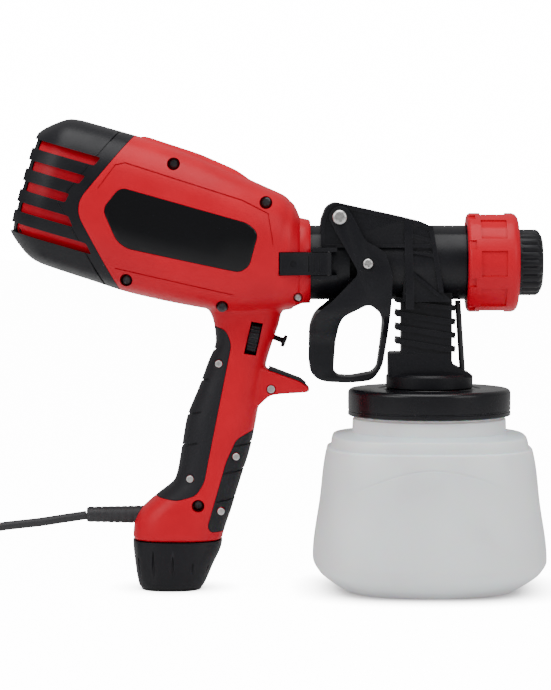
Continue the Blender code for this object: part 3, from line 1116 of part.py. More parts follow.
def main():
    for existing in list(bpy.data.objects):
        bpy.data.objects.remove(existing, do_unlink=True)
    red = material("red_plastic", (0.62, 0.012, 0.030), 0.38)
    black = material("black_plastic", (0.013, 0.013, 0.019), 0.45)
    gloss_black = material("gloss_plate", (0.004, 0.004, 0.006), 0.12)
    rubber = material("soft_rubber", (0.016, 0.016, 0.018), 0.70)
    steel = material("plated_steel", (0.60, 0.60, 0.60), 0.28, 1.0)
    dark_steel = material("dark_screws", (0.06, 0.06, 0.065), 0.40, 1.0)
    copper = material("copper_winding", (0.60, 0.25, 0.12), 0.35, 1.0)
    aluminium = material("cast_aluminium", (0.65, 0.66, 0.67), 0.45, 1.0)
    carbon = material("carbon_brush", (0.03, 0.03, 0.03), 0.60)
    board_green = material("circuit_board", (0.02, 0.16, 0.07), 0.40)
    grey = material("switch_grey", (0.10, 0.10, 0.11), 0.50)
    foam = material("filter_foam", (0.06, 0.06, 0.065), 0.95)
    nylon = material("white_nylon", (0.70, 0.70, 0.66), 0.45)
    milky = material("milky_plastic", (0.86, 0.85, 0.86), 0.35, 0.0, 0.85)

    make_housing(red)
    make_rear_cover(black, red, foam)
    make_grips(rubber, steel)
    make_screws(dark_steel)
    make_name_plates(gloss_black)
    make_motor(steel, copper, aluminium, black, carbon)
    make_controls(black, grey, board_green)
    make_handle_trim(black, rubber)
    make_cord(rubber, steel)
    make_spray_body(black)
    make_catch(black, steel)
    make_trigger(black, steel)
    make_needle(steel, nylon)
    make_nozzle_end(red, black)
    make_lid_and_jar(black, rubber, nylon, milky)


main()
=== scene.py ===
"""A corded HVLP paint spray gun, finished for close views around its fixed frame.

Metres, +Z up, sprays along +X.
"""
import math

import bmesh
import bpy
from mathutils import Matrix, Vector


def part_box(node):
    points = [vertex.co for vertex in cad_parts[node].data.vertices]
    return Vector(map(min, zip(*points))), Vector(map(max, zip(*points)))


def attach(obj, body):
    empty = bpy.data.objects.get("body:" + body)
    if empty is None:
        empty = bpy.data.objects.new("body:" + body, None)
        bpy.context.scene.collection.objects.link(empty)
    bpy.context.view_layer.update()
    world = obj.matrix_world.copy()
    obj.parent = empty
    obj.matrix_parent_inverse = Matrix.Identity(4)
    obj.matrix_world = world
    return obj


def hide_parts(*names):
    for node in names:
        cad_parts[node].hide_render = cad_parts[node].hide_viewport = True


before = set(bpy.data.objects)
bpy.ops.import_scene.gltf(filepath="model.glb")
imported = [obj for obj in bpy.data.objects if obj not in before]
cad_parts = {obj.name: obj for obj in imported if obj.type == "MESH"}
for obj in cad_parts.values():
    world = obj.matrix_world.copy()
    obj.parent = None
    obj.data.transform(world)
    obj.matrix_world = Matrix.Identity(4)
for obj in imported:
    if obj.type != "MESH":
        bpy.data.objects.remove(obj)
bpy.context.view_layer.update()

# ---------------------------------------------------------------- camera
# The gun is seen from its left side, level with the top of its handle and from well back, so that
# its round parts show hardly any perspective.
camera_distance = 1.60
camera_height = 0.225
aim = Vector((-0.0832, 0.0, 0.1318))
picture_width = 0.2975
sensor_width = 36.0
camera_data = bpy.data.cameras.new("camera")
camera_data.sensor_fit = "HORIZONTAL"
camera_data.sensor_width = sensor_width
camera_data.lens = sensor_width * camera_distance / picture_width
camera = bpy.data.objects.new("camera", camera_data)
camera.location = (aim.x, -camera_distance, camera_height)
camera.rotation_euler = (aim - camera.location).to_track_quat("-Z", "Y").to_euler()
bpy.context.scene.collection.objects.link(camera)
bpy.context.scene.camera = camera

# ---------------------------------------------------------------- mains lead
# Two-core rubber lead, 4.8 mm thick and about 2 m long. It leaves the strain relief at the foot of the
# handle, hangs down to the floor and is wound into a round coil of eleven turns, with its plug on top.
cord_diameter = 0.0048
cord_exit = (-0.1858, 0.0, 0.0394)
run_to_coil = (
    cord_exit, (-0.1990, 0.0002, 0.0374), (-0.2110, 0.0006, 0.0355), (-0.2230, 0.0012, 0.0341),
    (-0.2340, 0.0018, 0.0326), (-0.2450, 0.0024, 0.0299), (-0.2560, 0.0030, 0.0262),
    (-0.2660, 0.0035, 0.0225), (-0.2768, 0.0039, 0.0191),
)
run_to_plug = ((-0.3224, 0.0352, 0.0219), (-0.3209, 0.0429, 0.0223), (-0.3165, 0.0493, 0.0234),
               (-0.3101, 0.0537, 0.0249), (-0.3028, 0.0552, 0.0259))
coil_centre = (-0.2960, 0.0352)
coil_mean_radius = 0.0264
# the places of the turns, each (column out from the middle one, layer up from the floor), in winding order
coil_places = ((1, 3), (1, 2), (1, 1), (1, 0), (0, 0), (-1, 0), (-1, 1), (0, 1), (0, 2), (-1, 2), (-1, 3),
               (0, 3))
coil_steps = 48           # points in a turn
coil_shift_share = 0.25   # the last quarter of a turn moves over to the next place


def eased(share):
    """0 to 1 with a soft start and end."""
    share = min(max(share, 0.0), 1.0)
    return share * share * (3.0 - 2.0 * share)


def smooth_route(points, per_span):
    """A curve through the chosen points of a route."""
    route = [Vector(point) for point in points]
    padded = [route[0] * 2.0 - route[1]] + route + [route[-1] * 2.0 - route[-2]]
    line = []
    for index in range(1, len(padded) - 2):
        before, start, end, after = padded[index - 1:index + 3]
        for step in range(per_span):
            t = step / per_span
            line.append(0.5 * (2.0 * start + (end - before) * t
                               + (2.0 * before - 5.0 * start + 4.0 * end - after) * t * t
                               + (3.0 * start - before - 3.0 * end + after) * t ** 3))
    line.append(route[-1])
    return line


def coil_turns():
    """The coil's line, clockwise from its near side, ending a quarter turn into its last place."""
    line = []
    last_lift = run_to_plug[0][2] - cord_diameter * 3.5
    for number, (column, layer) in enumerate(coil_places):
        last = number == len(coil_places) - 1
        next_column, next_layer = (column, layer) if last else coil_places[number + 1]
        steps = coil_steps // 4 if last else coil_steps
        for step in range(steps):
            share = step / coil_steps
            shift = eased((share - 1.0 + coil_shift_share) / coil_shift_share)
            lift = last_lift * eased(step / steps) if last else 0.0
            angle = -math.pi / 2.0 - 2.0 * math.pi * share
            radius = coil_mean_radius + cord_diameter * (column + (next_column - column) * shift)
            height = cord_diameter * (0.5 + layer + (next_layer - layer) * shift) + lift
            line.append(Vector((coil_centre[0] + radius * math.cos(angle),
                                coil_centre[1] + radius * math.sin(angle), height)))
    return line


turns = coil_turns()
lead_in = smooth_route(run_to_coil + (tuple(turns[0]),), 3)[:-1]
lead_line = lead_in + turns + smooth_route(run_to_plug, 4)


def curve_along(line, radius, name):
    curve = bpy.data.curves.new(name, "CURVE")
    curve.dimensions = "3D"
    curve.bevel_depth = radius
    curve.bevel_resolution = 4
    curve.use_fill_caps = True
    spline = curve.splines.new("POLY")
    spline.points.add(len(line) - 1)
    for point, position in zip(spline.points, line):
        point.co = (*position, 1.0)
    spline.use_smooth = True
    made = bpy.data.objects.new(name, curve)
    bpy.context.scene.collection.objects.link(made)
    return made


def add_node(tree, kind, inputs, **settings):
    """Add a node; each input is given a value or the socket that feeds it."""
    made = tree.nodes.new(kind)
    for name, value in settings.items():
        setattr(made, name, value)
    for name, value in inputs.items():
        if isinstance(value, bpy.types.NodeSocket):
            tree.links.new(value, made.inputs[name])
        else:
            made.inputs[name].default_value = value
    return made


def surface_group(name, inputs):
    """A group that puts out colour, roughness and normal; returns it, its inputs and its output node."""
    group = bpy.data.node_groups.new(name, "ShaderNodeTree")
    outputs = (("Colour", "Color"), ("Roughness", "Float"), ("Normal", "Vector"))
    for direction, sockets in (("INPUT", inputs), ("OUTPUT", outputs)):
        for socket, kind in sockets:
            group.interface.new_socket(socket, in_out=direction, socket_type=f"NodeSocket{kind}")
    return group, group.nodes.new("NodeGroupInput").outputs, group.nodes.new("NodeGroupOutput")


def object_place(group):
    return group.nodes.new("ShaderNodeTexCoord").outputs["Object"]


def noise(group, place, scale, detail=2.0):
    made = add_node(group, "ShaderNodeTexNoise", {"Vector": place, "Scale": scale, "Detail": detail})
    return made.outputs["Fac"]


def ranged(group, value, low, high, to_low, to_high):
    made = add_node(group, "ShaderNodeMapRange", {"Value": value, "From Min": low, "From Max": high,
                                                  "To Min": to_low, "To Max": to_high})
    return made.outputs["Result"]


def worked_out(group, operation, first, second):
    return add_node(group, "ShaderNodeMath", {0: first, 1: second}, operation=operation).outputs["Value"]


def tinted(group, colour, share):
    made = add_node(group, "ShaderNodeVectorMath", {0: colour, "Scale": share}, operation="SCALE")
    return made.outputs["Vector"]


def moulded_surface_group():
    """Fine tool grain, cloudy colour and uneven sheen, as on any moulded piece, with a painted highlight: a
    paler colour in patches along the edges.
    """
    group, given, result = surface_group(
        "moulded_surface", (("Colour", "Color"), ("Painted edge highlight colour", "Color"), ("Grain scale", "Float"),
                            ("Grain depth", "Float"), ("Roughness", "Float"), ("Painted edge highlight", "Float")))
    place = object_place(group)
    grain = noise(group, place, given["Grain scale"], 4.0)
    bump = add_node(group, "ShaderNodeBump", {"Distance": 0.0002, "Strength": given["Grain depth"],
                                              "Height": grain})
    rounded_normal = add_node(group, "ShaderNodeBevel", {"Radius": 0.0007}, samples=4)
    true_normal = group.nodes.new("ShaderNodeNewGeometry").outputs["Normal"]
    facing = add_node(group, "ShaderNodeVectorMath", {0: rounded_normal.outputs["Normal"], 1: true_normal},
                      operation="DOT_PRODUCT")
    # painted highlight: the edges, found from the rounded normal, get the paler second colour in patches
    edge = ranged(group, facing.outputs["Value"], 0.995, 0.90, 0.0, 1.0)
    patches = ranged(group, noise(group, place, 140.0, 3.0), 0.42, 0.60, 0.15, 1.0)
    painted_edge_highlight = worked_out(group, "MULTIPLY", worked_out(group, "MULTIPLY", edge, patches), given["Painted edge highlight"])
    clouds = ranged(group, noise(group, place, 38.0, 5.0), 0.3, 0.7, 0.90, 1.08)
    mix = add_node(group, "ShaderNodeMix", {"Factor": painted_edge_highlight, "A": tinted(group, given["Colour"], clouds),
                                            "B": given["Painted edge highlight colour"]}, data_type="RGBA")
    sheen_spots = ranged(group, noise(group, place, 75.0, 6.0), 0.3, 0.7, 0.86, 1.16)
    roughness = worked_out(group, "MULTIPLY", sheen_spots, given["Roughness"])
    for socket, value in (("Colour", mix.outputs["Result"]), ("Roughness", roughness),
                          ("Normal", bump.outputs["Normal"])):
        group.links.new(value, result.inputs[socket])
    return group


moulded_surface = moulded_surface_group()


def finished_material(name, group, inputs, plain):
    """A Principled material over a surface group; plain holds shader values that are even all over."""
    made = bpy.data.materials.new(name)
    made.use_nodes = True
    surface = add_node(made.node_tree, "ShaderNodeGroup", inputs, node_tree=group)
    shader = made.node_tree.nodes["Principled BSDF"]
    for output, socket in (("Colour", "Base Color"), ("Roughness", "Roughness"), ("Normal", "Normal")):
        made.node_tree.links.new(surface.outputs[output], shader.inputs[socket])
    for socket, value in plain:
        shader.inputs[socket].default_value = value
    return made


def moulded_material(name, colour, painted_edge_highlight, roughness, grain_scale, grain_depth, edge_highlight_strength, plain=()):
    """A moulded plastic or rubber."""
    # the second colour is painted paler on the edges as a painted highlight; the last number sets how much
    inputs = {"Colour": (*colour, 1.0), "Painted edge highlight colour": (*painted_edge_highlight, 1.0), "Grain scale": grain_scale,
              "Grain depth": grain_depth, "Roughness": roughness, "Painted edge highlight": edge_highlight_strength}
    return finished_material(name, moulded_surface, inputs, plain)


lead_rubber = moulded_material("lead_rubber", (0.022, 0.022, 0.025), (0.10, 0.10, 0.10), 0.52, 1300.0, 0.30,
                               0.2)
mains_lead = curve_along(lead_line, cord_diameter / 2.0, "mains_lead")
mains_lead.data.materials.append(lead_rubber)
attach(mains_lead, "motor_unit")
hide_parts("mains_cord", "cord_coil", "cord_tail")

# ---------------------------------------------------------------- plug
# Moulded two-pin plug on the lead's end: a rubber body that narrows to a ribbed neck where the lead
# goes in, with two plated pins.


def ring(centre, across, up, half_width, half_height, exponent, count):
    """Points of a superellipse: an ellipse at exponent 2, nearly a rounded rectangle at 3."""
    points = []
    for step in range(count):
        angle = 2.0 * math.pi * step / count
        cosine, sine = math.cos(angle), math.sin(angle)
        sideways = math.copysign(abs(cosine) ** (2.0 / exponent), cosine)
        upward = math.copysign(abs(sine) ** (2.0 / exponent), sine)
        points.append(centre + across * (half_width * sideways) + up * (half_height * upward))
    return points


def made_from(builder, name):
    """Turn a bmesh into an object whose faces point out."""
    bmesh.ops.remove_doubles(builder, verts=builder.verts, dist=0.000001)
    bmesh.ops.recalc_face_normals(builder, faces=builder.faces)
    mesh = bpy.data.meshes.new(name)
    builder.to_mesh(mesh)
    builder.free()
    made = bpy.data.objects.new(name, mesh)
    bpy.context.scene.collection.objects.link(made)
    return made


def loft(rings, name="loft", closed=False):
    """Skin rings of equally many points, capped at both ends unless they join up."""
    builder = bmesh.new()
    rows = [[builder.verts.new(point) for point in points] for points in rings]
    count = len(rows[0])
    pairs = list(zip(rows, rows[1:]))
    if closed:
        pairs.append((rows[-1], rows[0]))
    for lower, upper in pairs:
        for step in range(count):
            following = (step + 1) % count
            builder.faces.new((lower[step], lower[following], upper[following], upper[step]))
    if not closed:
        builder.faces.new(rows[0])
        builder.faces.new(rows[-1])
    return made_from(builder, name)


X_AXIS = Vector((1.0, 0.0, 0.0))
Y_AXIS = Vector((0.0, 1.0, 0.0))
Z_AXIS = Vector((0.0, 0.0, 1.0))
FAR = 0.5        # cutters reach this far past what they cut


def turned(profile, base, axis, segments=96, name="turned"):
    """Turn a closed profile of (along, radius) points about an axis."""
    across = Y_AXIS if abs(axis.dot(Y_AXIS)) < 0.5 else X_AXIS
    up = axis.cross(across).normalized()
    across = up.cross(axis).normalized()
    builder = bmesh.new()
    rows = []
    for along, radius in profile:
        centre = base + axis * along
        if radius < 1e-7:
            rows.append([builder.verts.new(centre)])
        else:
            rows.append([builder.verts.new(point)
                         for point in ring(centre, across, up, radius, radius, 2.0, segments)])
    for first, second in zip(rows, rows[1:] + rows[:1]):
        for step in range(segments):
            following = (step + 1) % segments
            corners = [first[step % len(first)], first[following % len(first)],
                       second[following % len(second)], second[step % len(second)]]
            distinct = list(dict.fromkeys(corners))
            if len(distinct) > 2:
                builder.faces.new(distinct)
    return made_from(builder, name)


def cylinder(start, end, radius, segments=32):
    start, end = Vector(start), Vector(end)
    length = (end - start).length
    profile = ((0.0, 0.0), (0.0, radius), (length, radius), (length, 0.0))
    return turned(profile, start, (end - start).normalized(), segments)


def cross_bar(x, z, radius, low=-FAR, high=FAR, segments=32):
    """A round bar from side to side of the gun."""
    return cylinder((x, low, z), (x, high, z), radius, segments)


def between(stations, along):
    """Values at a distance along a list of stations, on a smooth curve that never overshoots them."""
    if along <= stations[0][0]:
        return stations[0][1:]
    if along >= stations[-1][0]:
        return stations[-1][1:]
    index = max(number for number, station in enumerate(stations[:-1]) if station[0] <= along)
    start, end = stations[index], stations[index + 1]
    span = end[0] - start[0]
    t = (along - start[0]) / span

    def slope(number, value):
        if number in (0, len(stations) - 1):
            return 0.0
        before, here, after = stations[number - 1:number + 2]
        first = (here[value] - before[value]) / (here[0] - before[0])
        second = (after[value] - here[value]) / (after[0] - here[0])
        return 0.0 if first * second <= 0.0 else 2.0 * first * second / (first + second)

    values = []
    for value in range(1, len(start)):
        values.append(start[value] * (1 + 2 * t) * (1 - t) ** 2 + end[value] * t * t * (3 - 2 * t)
                      + span * slope(index, value) * t * (1 - t) ** 2
                      + span * slope(index + 1, value) * t * t * (t - 1))
    return values


def spaced(low, high, count):
    return [low + (high - low) * step / count for step in range(count + 1)]


def settle(made):
    """Apply an object's modifiers to its mesh."""
    mesh = bpy.data.meshes.new_from_object(made.evaluated_get(bpy.context.evaluated_depsgraph_get()))
    made.modifiers.clear()
    made.data = mesh


def combine(target, operation, *tools):
    """Apply exact Booleans one after another and remove the tools."""
    for tool in tools:
        step = target.modifiers.new("shape", "BOOLEAN")
        step.operation = operation
        step.object = tool
        step.solver = "EXACT"
        settle(target)
        bpy.data.objects.remove(tool, do_unlink=True)
    return target


def cut(target, *tools):
    return combine(target, "DIFFERENCE", *tools)


def join(target, *tools):
    return combine(target, "UNION", *tools)


def keep(target, *tools):
    return combine(target, "INTERSECT", *tools)


def piece(made, name, surface, body, stands_for=(), edge=0.0, smooth_below=38.0):
    """Round a shape's sharp edges, shade it, and hang it on its body."""
    if edge > 0.0:
        rounding = made.modifiers.new("edges", "BEVEL")
        rounding.width = edge
        rounding.segments = 2
        rounding.limit_method = "ANGLE"
        rounding.angle_limit = math.radians(32.0)
        rounding.use_clamp_overlap = True
        settle(made)
    made.name = name
    made.data.name = name
    made.data.materials.clear()
    made.data.materials.append(surface)
    made.data.shade_smooth()
    made.data.set_sharp_from_angle(angle=math.radians(smooth_below))
    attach(made, body)
    if stands_for:
        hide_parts(*stands_for)
    return made


def metal_group():
    """Fine drawn lines, uneven sheen and a few dull spots on bare or plated metal."""
    group, given, result = surface_group(
        "worked_metal", (("Colour", "Color"), ("Roughness", "Float"), ("Line depth", "Float")))
    place = object_place(group)
    stretch = add_node(group, "ShaderNodeMapping", {"Vector": place, "Scale": (60.0, 900.0, 900.0)})
    lines = noise(group, stretch.outputs["Vector"], 3.0)
    bump = add_node(group, "ShaderNodeBump", {"Distance": 0.0001, "Strength": given["Line depth"],
                                              "Height": lines})
    shade = ranged(group, noise(group, place, 260.0), 0.35, 0.65, 0.82, 1.05)
    for socket, value in (("Colour", tinted(group, given["Colour"], shade)),
                          ("Roughness", worked_out(group, "DIVIDE", given["Roughness"], shade)),
                          ("Normal", bump.outputs["Normal"])):
        group.links.new(value, result.inputs[socket])
    return group


worked_metal = metal_group()


def metal_material(name, colour, roughness, line_depth):
    inputs = {"Colour": (*colour, 1.0), "Roughness": roughness, "Line depth": line_depth}
    return finished_material(name, worked_metal, inputs, (("Metallic", 1.0),))


zinc = metal_material("zinc_plating", (0.62, 0.61, 0.60), 0.30, 0.25)
plug_start = Vector((-0.3020, 0.0552, 0.0259))
plug_sizes = ((0.0, 0.0040, 0.0040), (0.010, 0.0070, 0.0055), (0.020, 0.0130, 0.0064),
              (0.034, 0.0150, 0.0064))
neck_end = 0.010
neck_ribs = 3
neck_groove = 0.0006


def neck_inset(along):
    """Depth of the grooves between the neck's ribs."""
    if along >= neck_end:
        return 0.0
    return neck_groove * (0.5 - 0.5 * math.cos(2.0 * math.pi * neck_ribs * along / neck_end))


plug_rings = []
plug_steps = [(along, neck_inset(along)) for along in spaced(0.0, 0.0325, 64)]
for along, inset in plug_steps + [(0.0334, 0.0004), (0.0340, 0.0014)]:
    half_width, half_height = between(plug_sizes, along)
    plug_rings.append(ring(plug_start + X_AXIS * along, Y_AXIS, Z_AXIS, half_width - inset,
                           half_height - inset, 3.0, 64))
plug = piece(loft(plug_rings), "plug", lead_rubber, "motor_unit", ["plug_body"], edge=0.0003)
for number in (1, 2):
    low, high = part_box(f"plug_pin_{number}")
    radius = (high[1] - low[1]) / 2.0
    length = high[0] - low[0]
    middle = Vector((low[0], (low[1] + high[1]) / 2.0, (low[2] + high[2]) / 2.0))
    profile = ((0.0, 0.0), (0.0, radius), (length - 0.0018, radius), (length - 0.0006, radius - 0.0007),
               (length, radius - 0.0014), (length, 0.0))
    piece(turned(profile, middle, X_AXIS, 48), f"pin_{number}", zinc, "motor_unit",
                      [f"plug_pin_{number}"])

# ---------------------------------------------------------------- strain relief
# Tapered rubber sleeve round the lead where it leaves the foot of the handle, with a moulded flange
# inside the housing and shallow rings that let it bend.
relief_low, relief_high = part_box("strain_relief")
relief_height = 0.0398
relief_length = relief_high[0] - relief_low[0]
flange_radius = 0.0060
flange_length = 0.0025
sleeve_radius = 0.0050
sleeve_taper = 0.0008
sleeve_ring_depth = 0.00018
sleeve_steps = 60
relief_profile = [(0.0, 0.0), (0.0, flange_radius), (flange_length, flange_radius),
                  (flange_length, sleeve_radius)]
for step in range(1, sleeve_steps + 1):
    along = flange_length + (relief_length - 0.0033) * step / sleeve_steps
    outer = sleeve_radius - sleeve_taper * step / sleeve_steps
    relief_profile.append((along, outer - (sleeve_ring_depth if step % 6 < 2 else 0.0)))
relief_profile += [(relief_length, 0.0036), (relief_length, 0.0)]
piece(turned(relief_profile, Vector((relief_high[0], 0.0, relief_height)), -X_AXIS, 64), "lead_sleeve",
      lead_rubber, "motor_unit", ["strain_relief"])

# ---------------------------------------------------------------- motor and fan
# Inside the housing: a universal motor with a laminated steel stator, a wound armature on ball bearings
# in cast brackets, carbon brushes, and the nylon turbine fan in its shroud. They keep their frame shapes.


def refinish(surface, *names):
    """Give kept pieces of the frame a finished material."""
    for name in names:
        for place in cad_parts[name].material_slots:
            place.material = surface


moulded_black = moulded_material("moulded_black", (0.0035, 0.0035, 0.0060), (0.030, 0.030, 0.036), 0.40,
                                 1500.0, 0.35, 0.40, (("Specular IOR Level", 0.30),))
refinish(metal_material("lamination_steel", (0.30, 0.31, 0.33), 0.42, 0.6), "stator_core")
refinish(metal_material("varnished_copper", (0.60, 0.24, 0.10), 0.36, 0.5), "armature")
refinish(metal_material("cast_aluminium", (0.62, 0.63, 0.65), 0.50, 0.9), "rear_bracket", "front_bracket")
refinish(zinc, "motor_shaft", "bearing_rear", "bearing_front", "catch_pin", "needle_spring")
refinish(moulded_black, "impeller", "fan_housing")
refinish(moulded_material("carbon", (0.03, 0.03, 0.03), (0.10, 0.10, 0.10), 0.60, 2200.0, 0.8, 0.3),
         "brush_left", "brush_right")

# ---------------------------------------------------------------- switch and speed control board
# A grey thermoset switch that the trigger's plunger presses, and the green board of the speed control.
refinish(moulded_material("switch_grey", (0.10, 0.10, 0.11), (0.22, 0.22, 0.23), 0.50, 900.0, 0.3, 0.3),
         "switch_body")
refinish(moulded_material("board_green", (0.02, 0.16, 0.07), (0.25, 0.40, 0.20), 0.36, 400.0, 0.2, 0.2),
         "control_board")

# ---------------------------------------------------------------- housing halves
# Two glossy red shells, moulded in impact-resistant plastic with fine tool grain, that close along the
# middle of the gun round the motor and the handle. Screws from the left side hold them together.
red_plastic = moulded_material("red_plastic", (0.60, 0.0004, 0.0160), (0.68, 0.025, 0.045), 0.38, 1700.0,
                               0.16, 0.3, (("Specular IOR Level", 0.22),))
gap = 0.0003
body_tilt = math.radians(16.0)
body_rear = Vector((-0.2176, 0.0, 0.2198))
body_along = Vector((math.cos(body_tilt), 0.0, -math.sin(body_tilt)))
body_up = Vector((math.sin(body_tilt), 0.0, math.cos(body_tilt)))
body_half_width = 0.038
body_wall = 0.0026
# the turbine housing along its tilted axis, each (along, top, bottom, share of half width, exponent, lean)
body_stations = (
    (0.000, 0.0280, -0.0280, 0.70, 3.0, 0.0), (0.003, 0.0315, -0.0310, 0.79, 3.0, 0.0),
    (0.016, 0.0398, -0.0390, 0.98, 3.0, 0.0), (0.022, 0.0403, -0.0400, 1.00, 3.0, 0.0),
    (0.051, 0.0404, -0.0412, 1.00, 3.0, 0.0), (0.068, 0.0400, -0.0418, 1.00, 3.0, 0.0),
    (0.086, 0.0388, -0.0410, 1.00, 3.0, 0.0), (0.109, 0.0356, -0.0390, 0.97, 3.0, 0.0),
    (0.121, 0.0338, -0.0375, 0.92, 3.0, 0.0), (0.136, 0.0316, -0.0345, 0.83, 2.8, 0.0),
    (0.146, 0.0290, -0.0295, 0.75, 2.6, 0.5),
)
spray_axis_z = 0.1765
collar_face_x = -0.0645
collar_rear_x = -0.0700
collar_half = 0.0232
duct_radius = 0.0200
# the handle from the turbine housing down, each (height, rear x, front x, half width)
handle_stations = (
    (0.0268, -0.1604, -0.1120, 0.0218), (0.0346, -0.1600, -0.1100, 0.0215),
    (0.0427, -0.1565, -0.1072, 0.0210), (0.0510, -0.1475, -0.1047, 0.0200),
    (0.0599, -0.1375, -0.1020, 0.0190), (0.0756, -0.1342, -0.0970, 0.0185),
    (0.0923, -0.1313, -0.0935, 0.0180), (0.1096, -0.1245, -0.0907, 0.0170),
    (0.1220, -0.1200, -0.0883, 0.0165), (0.1345, -0.1155, -0.0845, 0.0165),
    (0.1440, -0.1165, -0.0812, 0.0166), (0.1510, -0.1192, -0.0798, 0.0172),
    (0.1560, -0.1235, -0.0795, 0.0185), (0.1660, -0.1320, -0.0795, 0.0220),
)
handle_wall = 0.0034
handle_exponent = 2.6
finger_rest = ((-0.0980, 0.1215), (-0.0872, 0.1190), (-0.0699, 0.1128), (-0.0657, 0.1098), (-0.0645, 0.1084),
               (-0.0650, 0.1068), (-0.0861, 0.1053), (-0.0905, 0.1010), (-0.0980, 0.0940))
finger_rest_half = 0.011
top_ridge = ((0.050, 0.030), (0.0535, 0.0416), (0.086, 0.0404), (0.107, 0.0376), (0.116, 0.0345),
             (0.116, 0.028))
top_ridge_half = 0.0100
collar_arc = ((-0.0600, 0.1550), (-0.0690, 0.1549), (-0.0733, 0.1530), (-0.0765, 0.1497), (-0.0788, 0.1440),
              (-0.0600, 0.1440))
housing_voxel = 0.0011


def on_body(along, up, side=0.0):
    """A point given along and above the housing's tilted axis."""
    return body_rear + body_along * along + body_up * up + Y_AXIS * side


def upright(x, z, y):
    return Vector((x, y, z))


def slab(outline, low, high, place, name="slab"):
    """Extrude an outline between two distances; place turns (a, b, distance) into a point."""
    builder = bmesh.new()
    layers = [[builder.verts.new(place(first, second, distance)) for first, second in outline]
              for distance in (low, high)]
    count = len(outline)
    for step in range(count):
        following = (step + 1) % count
        builder.faces.new((layers[0][step], layers[0][following], layers[1][following], layers[1][step]))
    builder.faces.new(layers[0])
    builder.faces.new(layers[1])
    return made_from(builder, name)


def softened(outline, radius, steps=5):
    """Replace every corner of a closed outline by an arc, or less of one where its sides are short."""
    points = [Vector(point) for point in outline]
    soft = []
    for index, corner in enumerate(points):
        before, after = points[index - 1], points[(index + 1) % len(points)]
        reach = min(radius, (before - corner).length * 0.45, (after - corner).length * 0.45)
        start = corner + (before - corner).normalized() * reach
        end = corner + (after - corner).normalized() * reach
        for step in range(steps + 1):
            t = step / steps
            soft.append(start * (1 - t) ** 2 + corner * 2.0 * t * (1 - t) + end * t * t)
    return soft


def body_rings(inset, first, last, count, points=96):
    """Sections of the turbine housing, moved in by an inset."""
    rings = []
    for along in spaced(first, last, count):
        top, bottom, width_share, exponent, lean = between(body_stations, along)
        up = (body_up * (1.0 - lean) + Z_AXIS * lean).normalized()
        half_width, half_height = body_half_width * width_share - inset, (top - bottom) / 2.0 - inset
        rings.append(ring(on_body(max(along, inset), (top + bottom) / 2.0), Y_AXIS, up, half_width,
                          half_height, exponent, points))
    return rings


def collar_ring(x, half, exponent, points=96):
    return ring(Vector((x, 0.0, spray_axis_z)), Y_AXIS, Z_AXIS, half, half, exponent, points)


def body_form(inset=0.0, points=96, count=60):
    rings = body_rings(inset, 0.0, 0.146, count, points)
    rings.append(collar_ring(collar_rear_x, collar_half + 0.0014 - inset, 2.5, points))
    return loft(rings)


def upright_rings(stations, inset, low, high, count, points=96):
    """Level sections of the handle or the foot, from (height, rear x, front x, half width) stations."""
    rings = []
    for height in spaced(low, high, count):
        rear, front, half_width = between(stations, height)
        rings.append(ring(Vector(((rear + front) / 2.0, 0.0, height)), X_AXIS, Y_AXIS,
                          (front - rear) / 2.0 - inset, half_width - inset, handle_exponent, points))
    return rings


def handle_form(inset=0.0, points=96, low=0.0268, count=70):
    return loft(upright_rings(handle_stations, inset, low, 0.166, count, points))


cover_border = ((0.0605, 0.0640), (0.0300, -0.0045), (0.0890, -0.0660))
cover_border_radius = 0.010


def border_outline(shift):
    """Outline of everything behind the rear cover's V-shaped border, moved forward by a shift."""
    before, apex, after = (Vector(point) for point in cover_border)
    start = apex + (before - apex).normalized() * cover_border_radius
    end = apex + (after - apex).normalized() * cover_border_radius
    bend = [start * (1 - t) ** 2 + apex * 2.0 * t * (1 - t) + end * t * t for t in spaced(0.0, 1.0, 8)]
    points = [before] + bend + [after]
    return [(-0.05, before.y)] + [(point.x + shift, point.y) for point in points] + [(-0.05, after.y)]


housing = join(body_form(points=64, count=40), handle_form(points=64, count=40),
               slab(softened(finger_rest, 0.004), -finger_rest_half, finger_rest_half, upright),
               slab(softened(top_ridge, 0.003), -top_ridge_half, top_ridge_half, on_body))
remesh = housing.modifiers.new("even", "REMESH")
remesh.mode = "VOXEL"
remesh.voxel_size = housing_voxel
relax = housing.modifiers.new("flow", "SMOOTH")
relax.factor = 0.5
relax.iterations = 10
settle(housing)
# the collar is flared towards the housing and its front edge is rounded, each (x, half size)
collar_sections = ((collar_rear_x - 0.004, collar_half + 0.0006), (collar_rear_x, collar_half + 0.0010),
                   (collar_face_x - 0.0010, collar_half), (collar_face_x, collar_half - 0.0009))
join(housing, loft([collar_ring(x, half, 2.4) for x, half in collar_sections]))

screw_places = ((-0.1372, 0.2295), (-0.1625, 0.1679), (-0.0883, 0.2090), (-0.1117, 0.1534),
                (-0.1247, 0.0464))
screw_recess_radius = 0.0034
screw_head_height = 0.0020
boss_radius = 0.0043
